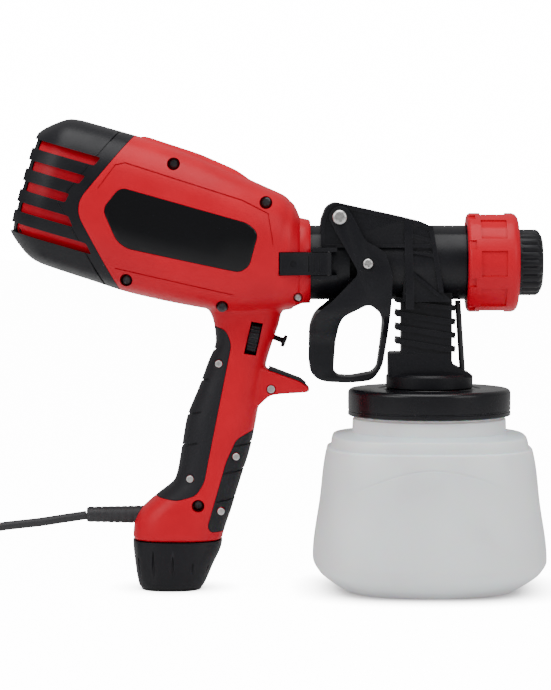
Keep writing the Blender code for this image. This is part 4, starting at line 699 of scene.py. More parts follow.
# the collar's and the finger rest's screws, each (x, z, half width of the housing there)
small_screw_places = ((-0.0712, 0.1583, 0.0153), (-0.0856, 0.1085, 0.0110))
small_screw_recess = (0.0026, 0.0020)   # radius and depth
dial_window = ((-0.0961, 0.1453), (-0.0899, 0.1442), (-0.0937, 0.1269), (-0.1002, 0.1280))
catch_z = (0.1706, 0.1825)
catch_floor_y = -0.0229
catch_notch = ((-0.0815, catch_z[0] - gap), (-0.05, catch_z[0] - gap), (-0.05, catch_z[1] + gap),
               (-0.0815, catch_z[1] + gap))
plate_outline = ((0.0456, -0.0016), (0.0513, 0.0118), (0.1215, 0.0120), (0.1277, 0.0085), (0.1279, -0.0095),
                 (0.1239, -0.0139), (0.0634, -0.0180), (0.0570, -0.0155))
plate_thickness = 0.0010
panel_line = ((0.0400, 0.0080), (0.0455, 0.0225), (0.0500, 0.0250), (0.1150, 0.0230), (0.1300, 0.0200),
              (0.1370, 0.0050))
rear_grip_outline = ((-0.1470, 0.0508), (-0.1360, 0.0492), (-0.1260, 0.0520), (-0.1215, 0.0590),
                     (-0.1195, 0.0700), (-0.1070, 0.1330), (-0.1100, 0.1405), (-0.1185, 0.1430),
                     (-0.1500, 0.1430), (-0.1600, 0.0550))
front_grip_outline = ((-0.1178, 0.0320), (-0.1080, 0.0320), (-0.0800, 0.0330), (-0.0800, 0.0860),
                      (-0.0945, 0.0868), (-0.1040, 0.0820), (-0.1095, 0.0700), (-0.1195, 0.0350))
grip_thickness = 0.0015


def moved_out(outline, distance):
    """An anticlockwise or clockwise outline grown by a distance."""
    points = [Vector(point) for point in outline]
    area = sum(a.x * b.y - b.x * a.y for a, b in zip(points, points[1:] + points[:1]))
    side = 1.0 if area > 0.0 else -1.0
    moved = []
    for index, point in enumerate(points):
        before, after = points[index - 1], points[(index + 1) % len(points)]
        first, second = (point - before).normalized(), (after - point).normalized()
        mean = (Vector((first.y, -first.x)) + Vector((second.y, -second.x))).normalized()
        moved.append(point + mean * distance * side)
    return moved


def groove_along(line, width, place, low, high):
    """A thin wall that follows an open line, for cutting a groove."""
    points = [Vector(point) for point in line]
    sides = ([], [])
    for index, point in enumerate(points):
        before, after = points[max(index - 1, 0)], points[min(index + 1, len(points) - 1)]
        run = (after - before).normalized()
        normal = Vector((run.y, -run.x)) * (width / 2.0)
        sides[0].append(point + normal)
        sides[1].append(point - normal)
    return slab(sides[0] + sides[1][::-1], low, high, place)


cavity = join(loft(body_rings(body_wall, body_wall, 0.146, 30, 48)
                   + [collar_ring(collar_rear_x - body_wall, duct_radius + 0.0004, 2.0, 48),
                      collar_ring(collar_face_x + 0.02, duct_radius + 0.0004, 2.0, 48)]),
              handle_form(handle_wall, 48, 0.0200, 30))
for x, z in screw_places:
    cut(cavity, cross_bar(x, z, boss_radius))
cut(housing, cavity, slab(border_outline(gap), -FAR, FAR, on_body), slab(collar_arc, -FAR, FAR, upright))
for number, (x, z) in enumerate(screw_places, start=1):
    recess_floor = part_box(f"housing_screw_{number}")[0][1] + screw_head_height + gap
    cut(housing, cross_bar(x, z, screw_recess_radius, -FAR, recess_floor, 40))
for x, z, half in small_screw_places:
    cut(housing, cross_bar(x, z, small_screw_recess[0], -FAR, small_screw_recess[1] - half))
plunger_hole = cylinder((-0.0950, 0.0, 0.1404), (-0.0700, 0.0, 0.1307), 0.0019)
relief_hole = cylinder((-0.19, 0.0, relief_height), (relief_high[0], 0.0, relief_height), sleeve_radius + gap)
cut(housing, slab(dial_window, -FAR, -0.0015, upright),
    slab(catch_notch, -FAR, catch_floor_y + gap, upright), plunger_hole, relief_hole)
plate_room = slab(softened(moved_out(plate_outline, gap), 0.004), -FAR, FAR, on_body)
cut(plate_room, body_form(plate_thickness + gap))
lines = groove_along(panel_line, 0.0007, on_body, -FAR, FAR)
cut(lines, body_form(0.0006))
lower_line = groove_along(((0.0600, -0.0300), (0.1240, -0.0265)), 0.0006, on_body, -FAR, FAR)
cut(lower_line, body_form(0.0005))
cut(housing, plate_room, lines, lower_line)
for outline in (rear_grip_outline, front_grip_outline):
    room = slab(softened(moved_out(outline, gap), 0.003), -FAR, FAR, upright)
    cut(room, handle_form(grip_thickness + gap))
    cut(housing, room)
other_half = housing.copy()
other_half.data = housing.data.copy()
bpy.context.scene.collection.objects.link(other_half)
near_side = slab(((-FAR, -FAR), (FAR, -FAR), (FAR, FAR), (-FAR, FAR)), -FAR, -gap / 2.0, upright)
far_side = slab(((-FAR, -FAR), (FAR, -FAR), (FAR, FAR), (-FAR, FAR)), gap / 2.0, FAR, upright)
piece(keep(housing, near_side), "shell_left", red_plastic, "motor_unit", ["housing_left"])
piece(keep(other_half, far_side), "shell_right", red_plastic, "motor_unit", ["housing_right"])

# ---------------------------------------------------------------- rear cover
# Black moulded cover that pulls off the back of the turbine housing. Five slots let air in through each
# side to a red liner, whose slotted plate holds the foam filter.
slot_pitch = 0.0114
slot_height = 0.0050
slot_middle_up = -0.0012
slot_ends = (0.036, 0.031, 0.026, 0.031, 0.044)
slot_slants = (0.0022, 0.0022, 0.0010, -0.0038, -0.0044)   # forward lean of each slot's front end
slot_depth_from = 0.016
liner_inset = 0.0032
liner_wall = 0.0018
liner_front = 0.046
liner_plate = (0.0100, 0.0120)
cover = cut(body_form(), body_form(body_wall))
keep(cover, slab(border_outline(0.0), -FAR, FAR, on_body))
for number, (end, slant) in enumerate(zip(slot_ends, slot_slants)):
    middle = slot_middle_up + slot_pitch * (2 - number)
    low, high = middle - slot_height / 2.0, middle + slot_height / 2.0
    outline = softened(((0.0030, low), (end - slant / 2.0, low), (end + slant / 2.0, high), (0.0030, high)),
                       0.0012)
    groove = slab(((-0.01, low), (0.006, low), (0.006, high), (-0.01, high)), -FAR, FAR, on_body)
    cut(groove, body_form(0.0011, 64, 30))
    cut(cover, groove)
    for side in (-1.0, 1.0):
        near, far = sorted((side * slot_depth_from, side * FAR))
        cut(cover, slab(outline, near, far, on_body))
step_line = groove_along(((0.0525, 0.0640), (0.0220, -0.0045), (0.0810, -0.0660)), 0.0008, on_body, -FAR, FAR)
cut(step_line, body_form(0.0005))
cut(cover, step_line)
piece(cover, "air_cover", moulded_black, "rear_cover", ["filter_cover"], edge=0.0004)

liner = loft(body_rings(liner_inset, liner_inset, liner_front, 24))
room_rings = body_rings(liner_inset + liner_wall, 0.006, 0.07, 24)
room = loft([[point - body_along * 0.02 for point in room_rings[0]]] + room_rings)
plate_rear, plate_front = liner_plate
cut(room, slab(((plate_rear, -FAR), (plate_front, -FAR), (plate_front, FAR), (plate_rear, FAR)), -FAR, FAR,
               on_body))
cut(liner, room)
for number in range(5):
    middle = slot_middle_up + slot_pitch * (2 - number)
    cut(liner, slab(softened(((0.005, middle - 0.002), (0.02, middle - 0.002), (0.02, middle + 0.002),
                              (0.005, middle + 0.002)), 0.0004), -0.022, 0.022, on_body))
piece(liner, "air_liner", red_plastic, "rear_cover", ["intake_grille"], edge=0.0003)
refinish(moulded_material("filter_foam", (0.05, 0.05, 0.055), (0.12, 0.12, 0.12), 0.95, 420.0, 1.0, 0.1),
         "filter_foam")

# ---------------------------------------------------------------- blank plates
# Thin glossy black plates set flush into both sides of the housing. They carry nothing.
plate_gloss = moulded_material("plate_gloss", (0.0020, 0.0020, 0.0030), (0.02, 0.02, 0.024), 0.13, 300.0,
                               0.02, 0.25, (("Specular IOR Level", 0.30),))
for name, node, near, far in (("plate_left", "name_plate_left", -FAR, 0.0),
                              ("plate_right", "name_plate_right", 0.0, FAR)):
    plate = cut(body_form(), body_form(plate_thickness))
    keep(plate, slab(softened(plate_outline, 0.004), near, far, on_body))
    piece(plate, name, plate_gloss, "motor_unit", [node], edge=0.0003)

# ---------------------------------------------------------------- rubber grips
# Two soft grip pads set into the handle, the rear one with four shallow grooves across it and the front
# one with three. Small plated screws hold them.
grip_rubber = moulded_material("grip_rubber", (0.006, 0.006, 0.009), (0.045, 0.045, 0.05), 0.55, 1100.0,
                               0.55, 0.35, (("Specular IOR Level", 0.35),))
grip_screw_places = ((-0.1137, 0.1226), (-0.1291, 0.0608), (-0.1043, 0.0728), (-0.1124, 0.0435))
grip_screw_hole = 0.0022
# the grooves across each grip, each from one (x, z) place to another
rear_steps = (((-0.1300, 0.1264), (-0.1150, 0.1300)), ((-0.1360, 0.1096), (-0.1190, 0.1140)),
              ((-0.1400, 0.0923), (-0.1230, 0.0965)), ((-0.1430, 0.0756), (-0.1250, 0.0798)))
front_steps = (((-0.1075, 0.0780), (-0.0850, 0.0815)), ((-0.1125, 0.0635), (-0.0900, 0.0670)),
               ((-0.1150, 0.0485), (-0.0950, 0.0518)))
groove_width = 0.0014
groove_depth = 0.0008
for name, node, outline, steps in (("grip_rear", "rear_grip", rear_grip_outline, rear_steps),
                                   ("grip_front", "front_grip", front_grip_outline, front_steps)):
    grip = cut(handle_form(), handle_form(grip_thickness))
    keep(grip, slab(softened(outline, 0.003), -FAR, FAR, upright))
    for line in steps:
        groove = groove_along(line, groove_width, upright, -FAR, FAR)
        cut(groove, handle_form(groove_depth, 48))
        cut(grip, groove)
    for x, z in grip_screw_places:
        cut(grip, cross_bar(x, z, grip_screw_hole, -FAR, 0.0))
    piece(grip, name, grip_rubber, "motor_unit", [node], edge=0.0004)

# ---------------------------------------------------------------- screws
# Pan-head screws with cross recesses: dark ones at the bottom of the housing's recesses, and bright
# plated ones on the collar, the finger rest and the grips.
dark_steel = metal_material("dark_steel", (0.085, 0.085, 0.09), 0.36, 0.4)
screw_shank = 0.0014


def crossed(made, place, radius, depth):
    """Cut a cross recess into the outer end of a head that faces the left side."""
    for turn in (0.25, 0.25 + math.pi / 2.0):
        reach = Vector((math.cos(turn), math.sin(turn))) * (radius * 0.62)
        wide = Vector((-math.sin(turn), math.cos(turn))) * (radius * 0.17)
        centre = Vector((place.x, place.z))
        outline = (centre - reach - wide, centre + reach - wide, centre + reach + wide, centre - reach + wide)
        cut(made, slab(outline, place.y - FAR, place.y + depth, upright))
    return made


def screw(node, name, surface):
    """One screw in the space its frame piece holds: a head on a shank, or the head alone."""
    low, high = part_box(node)
    radius = (high[2] - low[2]) / 2.0
    place = Vector(((low[0] + high[0]) / 2.0, low[1], (low[2] + high[2]) / 2.0))
    length = high[1] - low[1]
    head = min(length, screw_head_height)
    if length > head:
        profile = ((0.0, 0.0), (0.0, radius * 0.60), (0.00015, radius * 0.84), (0.0006, radius),
                   (head, radius), (head, screw_shank), (length, screw_shank), (length, 0.0))
    else:
        profile = ((0.0, 0.0), (0.0, radius * 0.66), (0.00012, radius * 0.88), (0.0004, radius),
                   (length, radius), (length, 0.0))
    made = crossed(turned(profile, place, Y_AXIS, 48), place, radius, min(0.0009, head * 0.6))
    piece(made, name, surface, "motor_unit", [node])


for number in range(1, 6):
    screw(f"housing_screw_{number}", f"shell_screw_{number}", dark_steel)
screw("collar_screw", "small_screw_collar", zinc)
screw("finger_rest_screw", "small_screw_rest", zinc)
for number in range(1, 5):
    screw(f"grip_screw_{number}", f"grip_fixing_{number}", zinc)

# ---------------------------------------------------------------- speed dial and plunger
# A knurled thumb wheel for the fan speed that shows through a window in the handle, and the T-headed
# plunger that the trigger presses.
dial_centre = Vector((-0.0950, -0.0102, 0.1361))
dial_radius = 0.0083
dial_width = 0.0054
dial_tilt = math.radians(12.8)
dial_axis = Vector((math.cos(dial_tilt), 0.0, -math.sin(dial_tilt)))
dial_up = dial_axis.cross(Y_AXIS).normalized()
dial_teeth = 20
tooth_steps = 6
tooth_depth = 0.0006
dial_rings = []
for along, inset in ((-0.5, 0.0007), (-0.42, 0.0), (0.42, 0.0), (0.5, 0.0007)):
    points = []
    for step in range(dial_teeth * tooth_steps):
        angle = 2.0 * math.pi * step / (dial_teeth * tooth_steps)
        radius = dial_radius - inset - tooth_depth * (0.5 - 0.5 * math.cos(angle * dial_teeth)) ** 2
        points.append(dial_centre + dial_axis * (dial_width * along) + Y_AXIS * (radius * math.cos(angle))
                      + dial_up * (radius * math.sin(angle)))
    dial_rings.append(points)
piece(loft(dial_rings), "thumb_wheel", moulded_black, "dial", ["speed_dial"])
plunger_tilt = math.radians(21.0)
plunger_axis = Vector((math.cos(plunger_tilt), 0.0, -math.sin(plunger_tilt)))
plunger_head = Vector((-0.0785, 0.0, 0.1340))
plunger_profile = ((-0.0226, 0.0), (-0.0226, 0.0013), (-0.0224, 0.0015), (-0.0016, 0.0015), (-0.0010, 0.0019),
                   (-0.0010, 0.0030), (-0.0007, 0.0033), (0.0006, 0.0033), (0.0010, 0.0028), (0.0010, 0.0))
piece(turned(plunger_profile, plunger_head, plunger_axis, 48), "trigger_plunger", moulded_black, "plunger",
      ["switch_plunger"])

# ---------------------------------------------------------------- finger rest pad and foot
# A soft pad in the hook above the first finger, and the black foot cap that closes the handle, with
# shallow upright grooves round its sides.
finger_pad = ((-0.0868, 0.1202), (-0.0699, 0.1138), (-0.0666, 0.1112), (-0.0668, 0.1108), (-0.0699, 0.1129),
              (-0.0868, 0.1189))
piece(slab(finger_pad, -0.010, 0.010, upright), "rest_pad", grip_rubber, "motor_unit",
      ["finger_rest_pad"], edge=0.0003)
foot_stations = ((0.0, -0.1556, -0.1236, 0.0172), (0.0025, -0.1572, -0.1218, 0.0188),
                 (0.0120, -0.1590, -0.1175, 0.0208), (0.0265, -0.1604, -0.1120, 0.0218))
foot_wall = 0.0026
foot_groove_angles = (35.0, 62.0, 90.0, 118.0, 145.0, 215.0, 242.0, 270.0, 298.0, 325.0)
foot_groove_radius = 0.0007
foot_groove_span = (0.0040, 0.0225)
foot = cut(loft(upright_rings(foot_stations, 0.0, 0.0, 0.0265, 24)),
           loft(upright_rings(foot_stations, foot_wall, foot_wall, 0.030, 24)))
rear, front, half_width = between(foot_stations, 0.012)
foot_middle = Vector(((rear + front) / 2.0, 0.0, 0.0))
foot_edge = ring(foot_middle, X_AXIS, Y_AXIS, (front - rear) / 2.0, half_width, handle_exponent, 360)
for degrees in foot_groove_angles:
    outward = Vector((math.cos(math.radians(degrees)), math.sin(math.radians(degrees)), 0.0))
    surface = max(foot_edge, key=lambda point: (point - foot_middle).normalized().dot(outward))
    low, high = ((surface.x, surface.y, height) for height in foot_groove_span)
    cut(foot, cylinder(low, high, foot_groove_radius, 16))
piece(foot, "foot_cap", moulded_black, "motor_unit", ["base_cap"], edge=0.0005)

# ---------------------------------------------------------------- spray head
# One black glass-filled moulding: the air duct that plugs into the housing, the barrel, the yoke that
# carries the trigger, the ribbed stem that brings up the paint, and the collar that holds the lid.
yoke = ((-0.0591, 0.1850), (-0.0591, 0.1990), (-0.0560, 0.2068), (-0.0515, 0.2092), (-0.0159, 0.2014),
        (-0.0040, 0.1985), (0.0010, 0.1950), (0.0016, 0.1850))
yoke_half_width = 0.0203
cheek = ((-0.0143, 0.1975), (-0.0012, 0.1958), (0.0055, 0.1620), (0.0110, 0.1560), (-0.0150, 0.1560))
cheek_half_width = 0.0188
duct_rear_x = -0.0800
barrel_front_x = 0.0194
nose_front_x = 0.0392
nose_radius = 0.0196
duct_bore = 0.0160
stem_x = (-0.0154, 0.0116)
stem_half_width = 0.0120
collar_disc = (0.1088, 0.1165)
collar_disc_radius = 0.0235
collar_block_top = 0.1280
collar_block_half = 0.0126
collar_block = ((-0.0224, 0.1150), (-0.0224, 0.1270), (-0.0214, collar_block_top), (0.0100, collar_block_top),
                (0.0126, 0.1215), (0.0215, 0.1168), (0.0222, 0.1150))
rib_slope = math.radians(9.0)
rib_pitch = 0.0074
rib_height = 0.0030
first_rib = 0.1318
# raised band and braces on the cheek, each an outline with its half width
braces = (
    (((-0.0146, 0.2008), (-0.0104, 0.2000), (-0.0092, 0.1520), (-0.0136, 0.1520)), 0.0208),
    (((-0.0015, 0.1968), (0.0008, 0.1962), (0.0066, 0.1610), (0.0040, 0.1610)), 0.0206),
    (((-0.0110, 0.1925), (0.0012, 0.1893), (0.0012, 0.1875), (-0.0110, 0.1907)), 0.0204),
    (((-0.0110, 0.1835), (0.0030, 0.1810), (0.0030, 0.1794), (-0.0110, 0.1819)), 0.0204),
    (((-0.0100, 0.1722), (0.0060, 0.1590), (0.0060, 0.1568), (-0.0100, 0.1700)), 0.0204),
    (((-0.0100, 0.1560), (0.0112, 0.1535), (0.0112, 0.1515), (-0.0100, 0.1540)), 0.0150),
)
fluid_tube_radius = 0.0060
fluid_bore = 0.0028
spigot_radius = 0.0116
pivot = Vector((-0.0491, 0.0, 0.2012))
pivot_hole = 0.0023
link = Vector((-0.0340, 0.0, spray_axis_z))
catch_pivot = Vector((-0.0550, -0.0240, spray_axis_z))
catch_pin_hole = 0.0011
rib_overhang = 0.0032      # the ribs stand out this far behind the stem
rib_proud = 0.0012         # and this far at its sides
tie_half_width = 0.0040    # the ties in front run on to the air tube
tie_front_x = 0.0140
rail_x = (-0.0635, -0.0505)
rail_y = -0.0262
rail_height = 0.0022


def block(low, high):
    outline = ((low[0], low[2]), (high[0], low[2]), (high[0], high[2]), (low[0], high[2]))
    return slab(outline, low[1], high[1], upright)


def about_spray(profile, segments=96):
    return turned(profile, Vector((0.0, 0.0, spray_axis_z)), X_AXIS, segments)


def along_spray(rear_x, front_x, radius, segments=32):
    return cylinder((rear_x, 0.0, spray_axis_z), (front_x, 0.0, spray_axis_z), radius, segments)


def up_stem(low, high, radius, segments=32):
    return cylinder((0.0, 0.0, low), (0.0, 0.0, high), radius, segments)


def catch_pin_bar():
    """A cutter for the hole that the catch's pin goes through."""
    return cylinder((catch_pivot.x, catch_pivot.y, 0.160), (catch_pivot.x, catch_pivot.y, 0.195),
                    catch_pin_hole, 24)


head = about_spray(((duct_rear_x, 0.0), (duct_rear_x, duct_radius - 0.0008),
                    (duct_rear_x + 0.0008, duct_radius), (barrel_front_x - 0.0005, duct_radius),
                    (barrel_front_x, nose_radius), (nose_front_x - 0.0006, nose_radius),
                    (nose_front_x, nose_radius - 0.0006), (nose_front_x, 0.0)))
join(head, slab(softened(yoke, 0.003), -yoke_half_width, yoke_half_width, upright),
     slab(softened(cheek, 0.002), -cheek_half_width, cheek_half_width, upright),
     block((stem_x[0], -stem_half_width, collar_disc[1] - 0.001), (stem_x[1], stem_half_width, 0.165)))
roof = moved_out(yoke, -0.0024)
for side in (-1.0, 1.0):
    near, far = sorted((side * (yoke_half_width - 0.0006), side * FAR))
    panel = slab(softened(roof, 0.002), near, far, upright)
    cut(panel, cross_bar(pivot.x, pivot.z, 0.0060, segments=48))
    cut(head, panel)
for number in range(4):
    height = first_rib + rib_pitch * number
    rib = block((stem_x[0] - rib_overhang, -stem_half_width - rib_proud, -rib_height / 2.0),
                (stem_x[1], stem_half_width + rib_proud, rib_height / 2.0))
    join(rib, block((0.0, -tie_half_width, -rib_height / 2.0),
                    (tie_front_x, tie_half_width, rib_height / 2.0)))
    rib.data.transform(Matrix.Translation((0.0, 0.0, height)) @ Matrix.Rotation(rib_slope, 4, "Y"))
    join(head, rib)
for outline, half_width in braces:
    join(head, slab(outline, -half_width, half_width, upright))
join(head, turned(((collar_disc[0], 0.0), (collar_disc[0], collar_disc_radius - 0.0005),
                   (collar_disc[0] + 0.0005, collar_disc_radius),
                   (collar_disc[1] - 0.0012, collar_disc_radius),
                   (collar_disc[1], collar_disc_radius - 0.0012), (collar_disc[1], 0.0)),
                  Vector(), Z_AXIS, 96),
     slab(collar_block, -collar_block_half, collar_block_half, upright),
     up_stem(0.0980, collar_disc[0] + 0.001, spigot_radius, 64))
for low in (catch_z[0] - gap - rail_height, catch_z[1] + gap):
    join(head, block((rail_x[0], rail_y, low), (rail_x[1], -0.012, low + rail_height)))
air_way = along_spray(duct_rear_x - 0.01, nose_front_x + 0.01, duct_bore, 96)
cut(air_way, along_spray(-0.0200, nose_front_x + 0.02, fluid_tube_radius, 48),
    up_stem(0.15, spray_axis_z, fluid_tube_radius, 48),
    block((-0.0620, -0.1, spray_axis_z - 0.0045), (-0.0600, 0.1, spray_axis_z + 0.0045)),
    block((0.010, -0.0012, spray_axis_z - 0.1), (0.036, 0.0012, spray_axis_z + 0.1)))
cut(head, air_way, along_spray(-0.03, nose_front_x + 0.01, fluid_bore),
    up_stem(0.1, spray_axis_z, fluid_bore), up_stem(0.088, 0.1043, 0.0043))
for side in (-1.0, 1.0):
    near, far = sorted((side * 0.008, side * 0.030))
    cut(head, block((link.x - 0.0096, near, link.z - 0.0080), (link.x + 0.004, far, link.z + 0.0032)))
cut(head, cross_bar(pivot.x, pivot.z, pivot_hole, segments=48), catch_pin_bar())
piece(head, "spray_casting", moulded_black, "spray_head", ["spray_body"], edge=0.0005)
tube_start, tube_end = Vector((0.0152, 0.0, 0.1560)), Vector((0.0178, 0.0, 0.1184))
tube_length = (tube_end - tube_start).length
tube_profile = ((0.0, 0.0), (0.0, 0.0014), (0.0002, 0.0016), (tube_length - 0.0002, 0.0016),
                (tube_length, 0.0014), (tube_length, 0.0))
piece(turned(tube_profile, tube_start, (tube_end - tube_start).normalized(), 48), "air_tube", lead_rubber,
      "spray_head", ["pressure_tube"])
nylon = moulded_material("white_nylon", (0.70, 0.70, 0.66), (0.80, 0.80, 0.77), 0.42, 900.0, 0.2, 0.2,
                         (("Subsurface Weight", 0.15), ("Subsurface Scale", 0.002)))
refinish(nylon, "fluid_nozzle", "pickup_tube")
refinish(grip_rubber, "lid_gasket")

# ---------------------------------------------------------------- catch
# Springy black bar on the left of the spray head. Its nose drops into the housing's notch and a thumb
# on its dimpled end frees the head.
catch_outline = ((-0.0810, catch_floor_y), (-0.0550, catch_floor_y), (-0.0532, -0.0236), (-0.0532, -0.0258),
                 (-0.0560, -0.0268), (-0.0640, -0.0268), (-0.0810, -0.0300))
catch_rib_width = 0.0009
catch_rib_pitch = 0.0028
catch_rib_end = 0.0016     # the grooves stop this far from the bar's edges


def lying(x, y, z):
    return Vector((x, y, z))


catch = slab(softened(catch_outline, 0.0008), catch_z[0], catch_z[1], lying)
cut(catch, catch_pin_bar(),
    cylinder((-0.0738, -0.0310, spray_axis_z), (-0.0738, -0.0279, spray_axis_z), 0.0019, 32))
for number in range(3):
    x = -0.0660 + catch_rib_pitch * number
    cut(catch, block((x, -0.05, catch_z[0] + catch_rib_end),
                     (x + catch_rib_width, -0.0262, catch_z[1] - catch_rib_end)))
piece(catch, "catch_bar", moulded_black, "catch", ["head_catch"], edge=0.0004)

# ---------------------------------------------------------------- trigger
# Black moulded lever: two arms that straddle the barrel run down into one closed finger loop. It hangs
# on a plated screw, and a second screw drives the needle.
trigger_outline = (
    (-0.0553, 0.2020), (-0.0516, 0.2070), (-0.0455, 0.2070), (-0.0419, 0.2014), (-0.0354, 0.1885),
    (-0.0251, 0.1831), (-0.0208, 0.1712), (-0.0213, 0.1561), (-0.0230, 0.1372), (-0.0257, 0.1210),
    (-0.0310, 0.1134), (-0.0429, 0.1121), (-0.0560, 0.1126), (-0.0610, 0.1142), (-0.0645, 0.1180),
    (-0.0654, 0.1240), (-0.0650, 0.1420), (-0.0620, 0.1492), (-0.0535, 0.1558), (-0.0386, 0.1712),
    (-0.0525, 0.1960),
)
trigger_opening = (
    (-0.0521, 0.1190), (-0.0510, 0.1345), (-0.0490, 0.1440), (-0.0467, 0.1482), (-0.0332, 0.1550),
    (-0.0267, 0.1496), (-0.0251, 0.1450), (-0.0284, 0.1204), (-0.0311, 0.1172), (-0.0429, 0.1150),
    (-0.0500, 0.1156),
)
arm_inner = 0.0209
arm_outer = 0.0240
loop_half = 0.0120
link_hole = 0.0021
taper = ((-loop_half, 0.0), (loop_half, 0.0), (loop_half, 0.1360), (arm_outer, 0.1495), (arm_outer, 0.3),
         (-arm_outer, 0.3), (-arm_outer, 0.1495), (-loop_half, 0.1360))


def facing_spray(y, z, x):
    return Vector((x, y, z))


lever = slab(softened(trigger_outline, 0.0035), -arm_outer, arm_outer, upright)
keep(lever, slab(softened(taper, 0.004), -FAR, FAR, facing_spray))
cut(lever, slab(softened(trigger_opening, 0.003), -FAR, FAR, upright),
    block((-FAR, -arm_inner, 0.1500), (FAR, arm_inner, FAR)),
    cross_bar(pivot.x, pivot.z, pivot_hole, segments=48), cross_bar(link.x, link.z, link_hole, segments=48))
piece(lever, "finger_lever", moulded_black, "trigger_lever", ["trigger"], edge=0.0010)
refinish(zinc, "needle")
pin_outside = arm_outer + gap
pin_head = 0.0016
for name, node, body, place, radius, head_radius in (
        ("pivot_screw", "trigger_pivot_pin", "spray_head", pivot, 0.0020, 0.0038),
        ("link_screw", "link_pin", "trigger_lever", link, 0.0018, 0.0028)):
    end = pin_outside + pin_head
    half = ((-end, 0.0), (-end, head_radius * 0.66), (-end + 0.0003, head_radius * 0.88),
            (-end + 0.0008, head_radius), (-pin_outside, head_radius), (-pin_outside, radius))
    profile = half + tuple((-along, across) for along, across in reversed(half))
    pin = crossed(turned(profile, place, Y_AXIS, 64), Vector((place.x, -end, place.z)), head_radius, 0.0013)
    piece(pin, name, zinc, body, [node])

# ---------------------------------------------------------------- ring nut and air cap
# A red threaded ring with eight recessed pads holds the fluted black air cap on the barrel's nose.
nut_rear, nut_front = 0.0197, 0.0473
nut_radius = 0.0267
nut_bore = 0.0206
nut_lip = 0.0033
cap_front = 0.0605
cap_radius = 0.0178
cap_room = 0.0004
cap_bore = 0.0130
cap_hole = 0.0040
flange_radius = 0.0201
flange_width = 0.0030
cap_flutes = 24
flute_depth = 0.0011
flute_steps = 8
pad_count = 8


def pad(middle_degrees, half_degrees, x_rear, x_front, depth):
    """A cutter for one shallow pad on the nut's outside."""
    outline = []
    for radius, turns in ((nut_radius - depth, 1.0), (nut_radius + 0.01, -1.0)):
        for share in spaced(-1.0, 1.0, 6):
            angle = math.radians(middle_degrees + half_degrees * share * turns)
            outline.append((radius * math.cos(angle), spray_axis_z + radius * math.sin(angle)))
    return slab(outline, x_rear, x_front, facing_spray)


nut = about_spray(((nut_rear, nut_bore), (nut_rear, nut_radius - 0.0016),
                   (nut_rear + 0.0006, nut_radius - 0.0006), (nut_rear + 0.0016, nut_radius),
                   (nut_front - 0.0034, nut_radius), (nut_front - 0.0016, nut_radius - 0.0007),
                   (nut_front - 0.0004, nut_radius - 0.0022), (nut_front, nut_radius - 0.0036),
                   (nut_front, cap_radius + cap_room), (nut_front - nut_lip, cap_radius + cap_room),
                   (nut_front - nut_lip, nut_bore)), 144)
for number in range(pad_count):
    middle = 360.0 * number / pad_count
    cut(nut, pad(middle, 15.0, nut_rear + 0.0068, nut_front - 0.0070, 0.0009),
        pad(middle + 22.5, 5.5, nut_rear - 0.01, nut_rear + 0.0042, 0.0010))
piece(nut, "threaded_ring", red_plastic, "nut", ["ring_nut"], edge=0.0005)
flange_front = nut_front - nut_lip - gap
flange_rear = flange_front - flange_width
# the cap from its rear over the outside and in through the hole, each (x, radius, depth of the flutes)
cap_sections = ((flange_rear, cap_bore, 0.0), (flange_rear, flange_radius, 0.0),
                (flange_front, flange_radius, 0.0), (flange_front, cap_radius, 0.0),
                (nut_front + 0.0012, cap_radius, 0.0), (nut_front + 0.0022, cap_radius, flute_depth),
                (cap_front - 0.0034, cap_radius, flute_depth),
                (cap_front - 0.0020, cap_radius - 0.0008, 0.0008),
                (cap_front - 0.0006, cap_radius - 0.0030, 0.0002), (cap_front, cap_radius - 0.0048, 0.0),
                (cap_front, cap_hole + 0.0006, 0.0), (cap_front - 0.0006, cap_hole, 0.0),
                (cap_front - 0.0030, cap_hole, 0.0), (cap_front - 0.0030, cap_bore, 0.0))
cap_rings = []
for x, radius, flute in cap_sections:
    points = []
    for step in range(cap_flutes * flute_steps):
        angle = 2.0 * math.pi * step / (cap_flutes * flute_steps)
        reach = radius - flute * (0.5 - 0.5 * math.cos(angle * cap_flutes)) ** 3
        points.append(Vector((x, reach * math.cos(angle), spray_axis_z + reach * math.sin(angle))))
    cap_rings.append(points)
piece(loft(cap_rings, closed=True), "fluted_cap", moulded_black, "cap", ["air_cap"])

# ---------------------------------------------------------------- lid
# Moulded black lid that the jar's neck screws into. The collar of the spray head holds it. Its rim is
# rounded, and shallow grooves run round its skirt and its top.
lid_low, lid_high = 0.0940, 0.1085
lid_radius = 0.0440
lid_wall = 0.0025
lid_hole = spigot_radius + 0.0004
rim_round = 0.0024
lid_rim = [(lid_high - rim_round * (1.0 - math.sin(turn)), lid_radius - rim_round * (1.0 - math.cos(turn)))
           for turn in spaced(0.0, math.pi / 2.0, 8)]
lid_skirt = [(lid_low, lid_radius - lid_wall), (lid_low, lid_radius - 0.0005), (lid_low + 0.0005, lid_radius),
             (0.0962, lid_radius), (0.0965, lid_radius - 0.0004), (0.0970, lid_radius - 0.0004),
             (0.0973, lid_radius)]
lid_top = [(lid_high, 0.0280), (lid_high - 0.0005, 0.0275), (lid_high - 0.0005, 0.0250),
           (lid_high, 0.0245), (lid_high, lid_hole), (lid_high - lid_wall, lid_hole),
           (lid_high - lid_wall, lid_radius - lid_wall)]
lid_black = moulded_material("lid_black", (0.0030, 0.0030, 0.0050), (0.03, 0.03, 0.035), 0.26, 1500.0, 0.12,
                             0.4, (("Specular IOR Level", 0.40),))
piece(turned(lid_skirt + lid_rim + lid_top, Vector(), Z_AXIS, 144), "jar_cover", lid_black, "spray_head",
      ["jar_lid"])

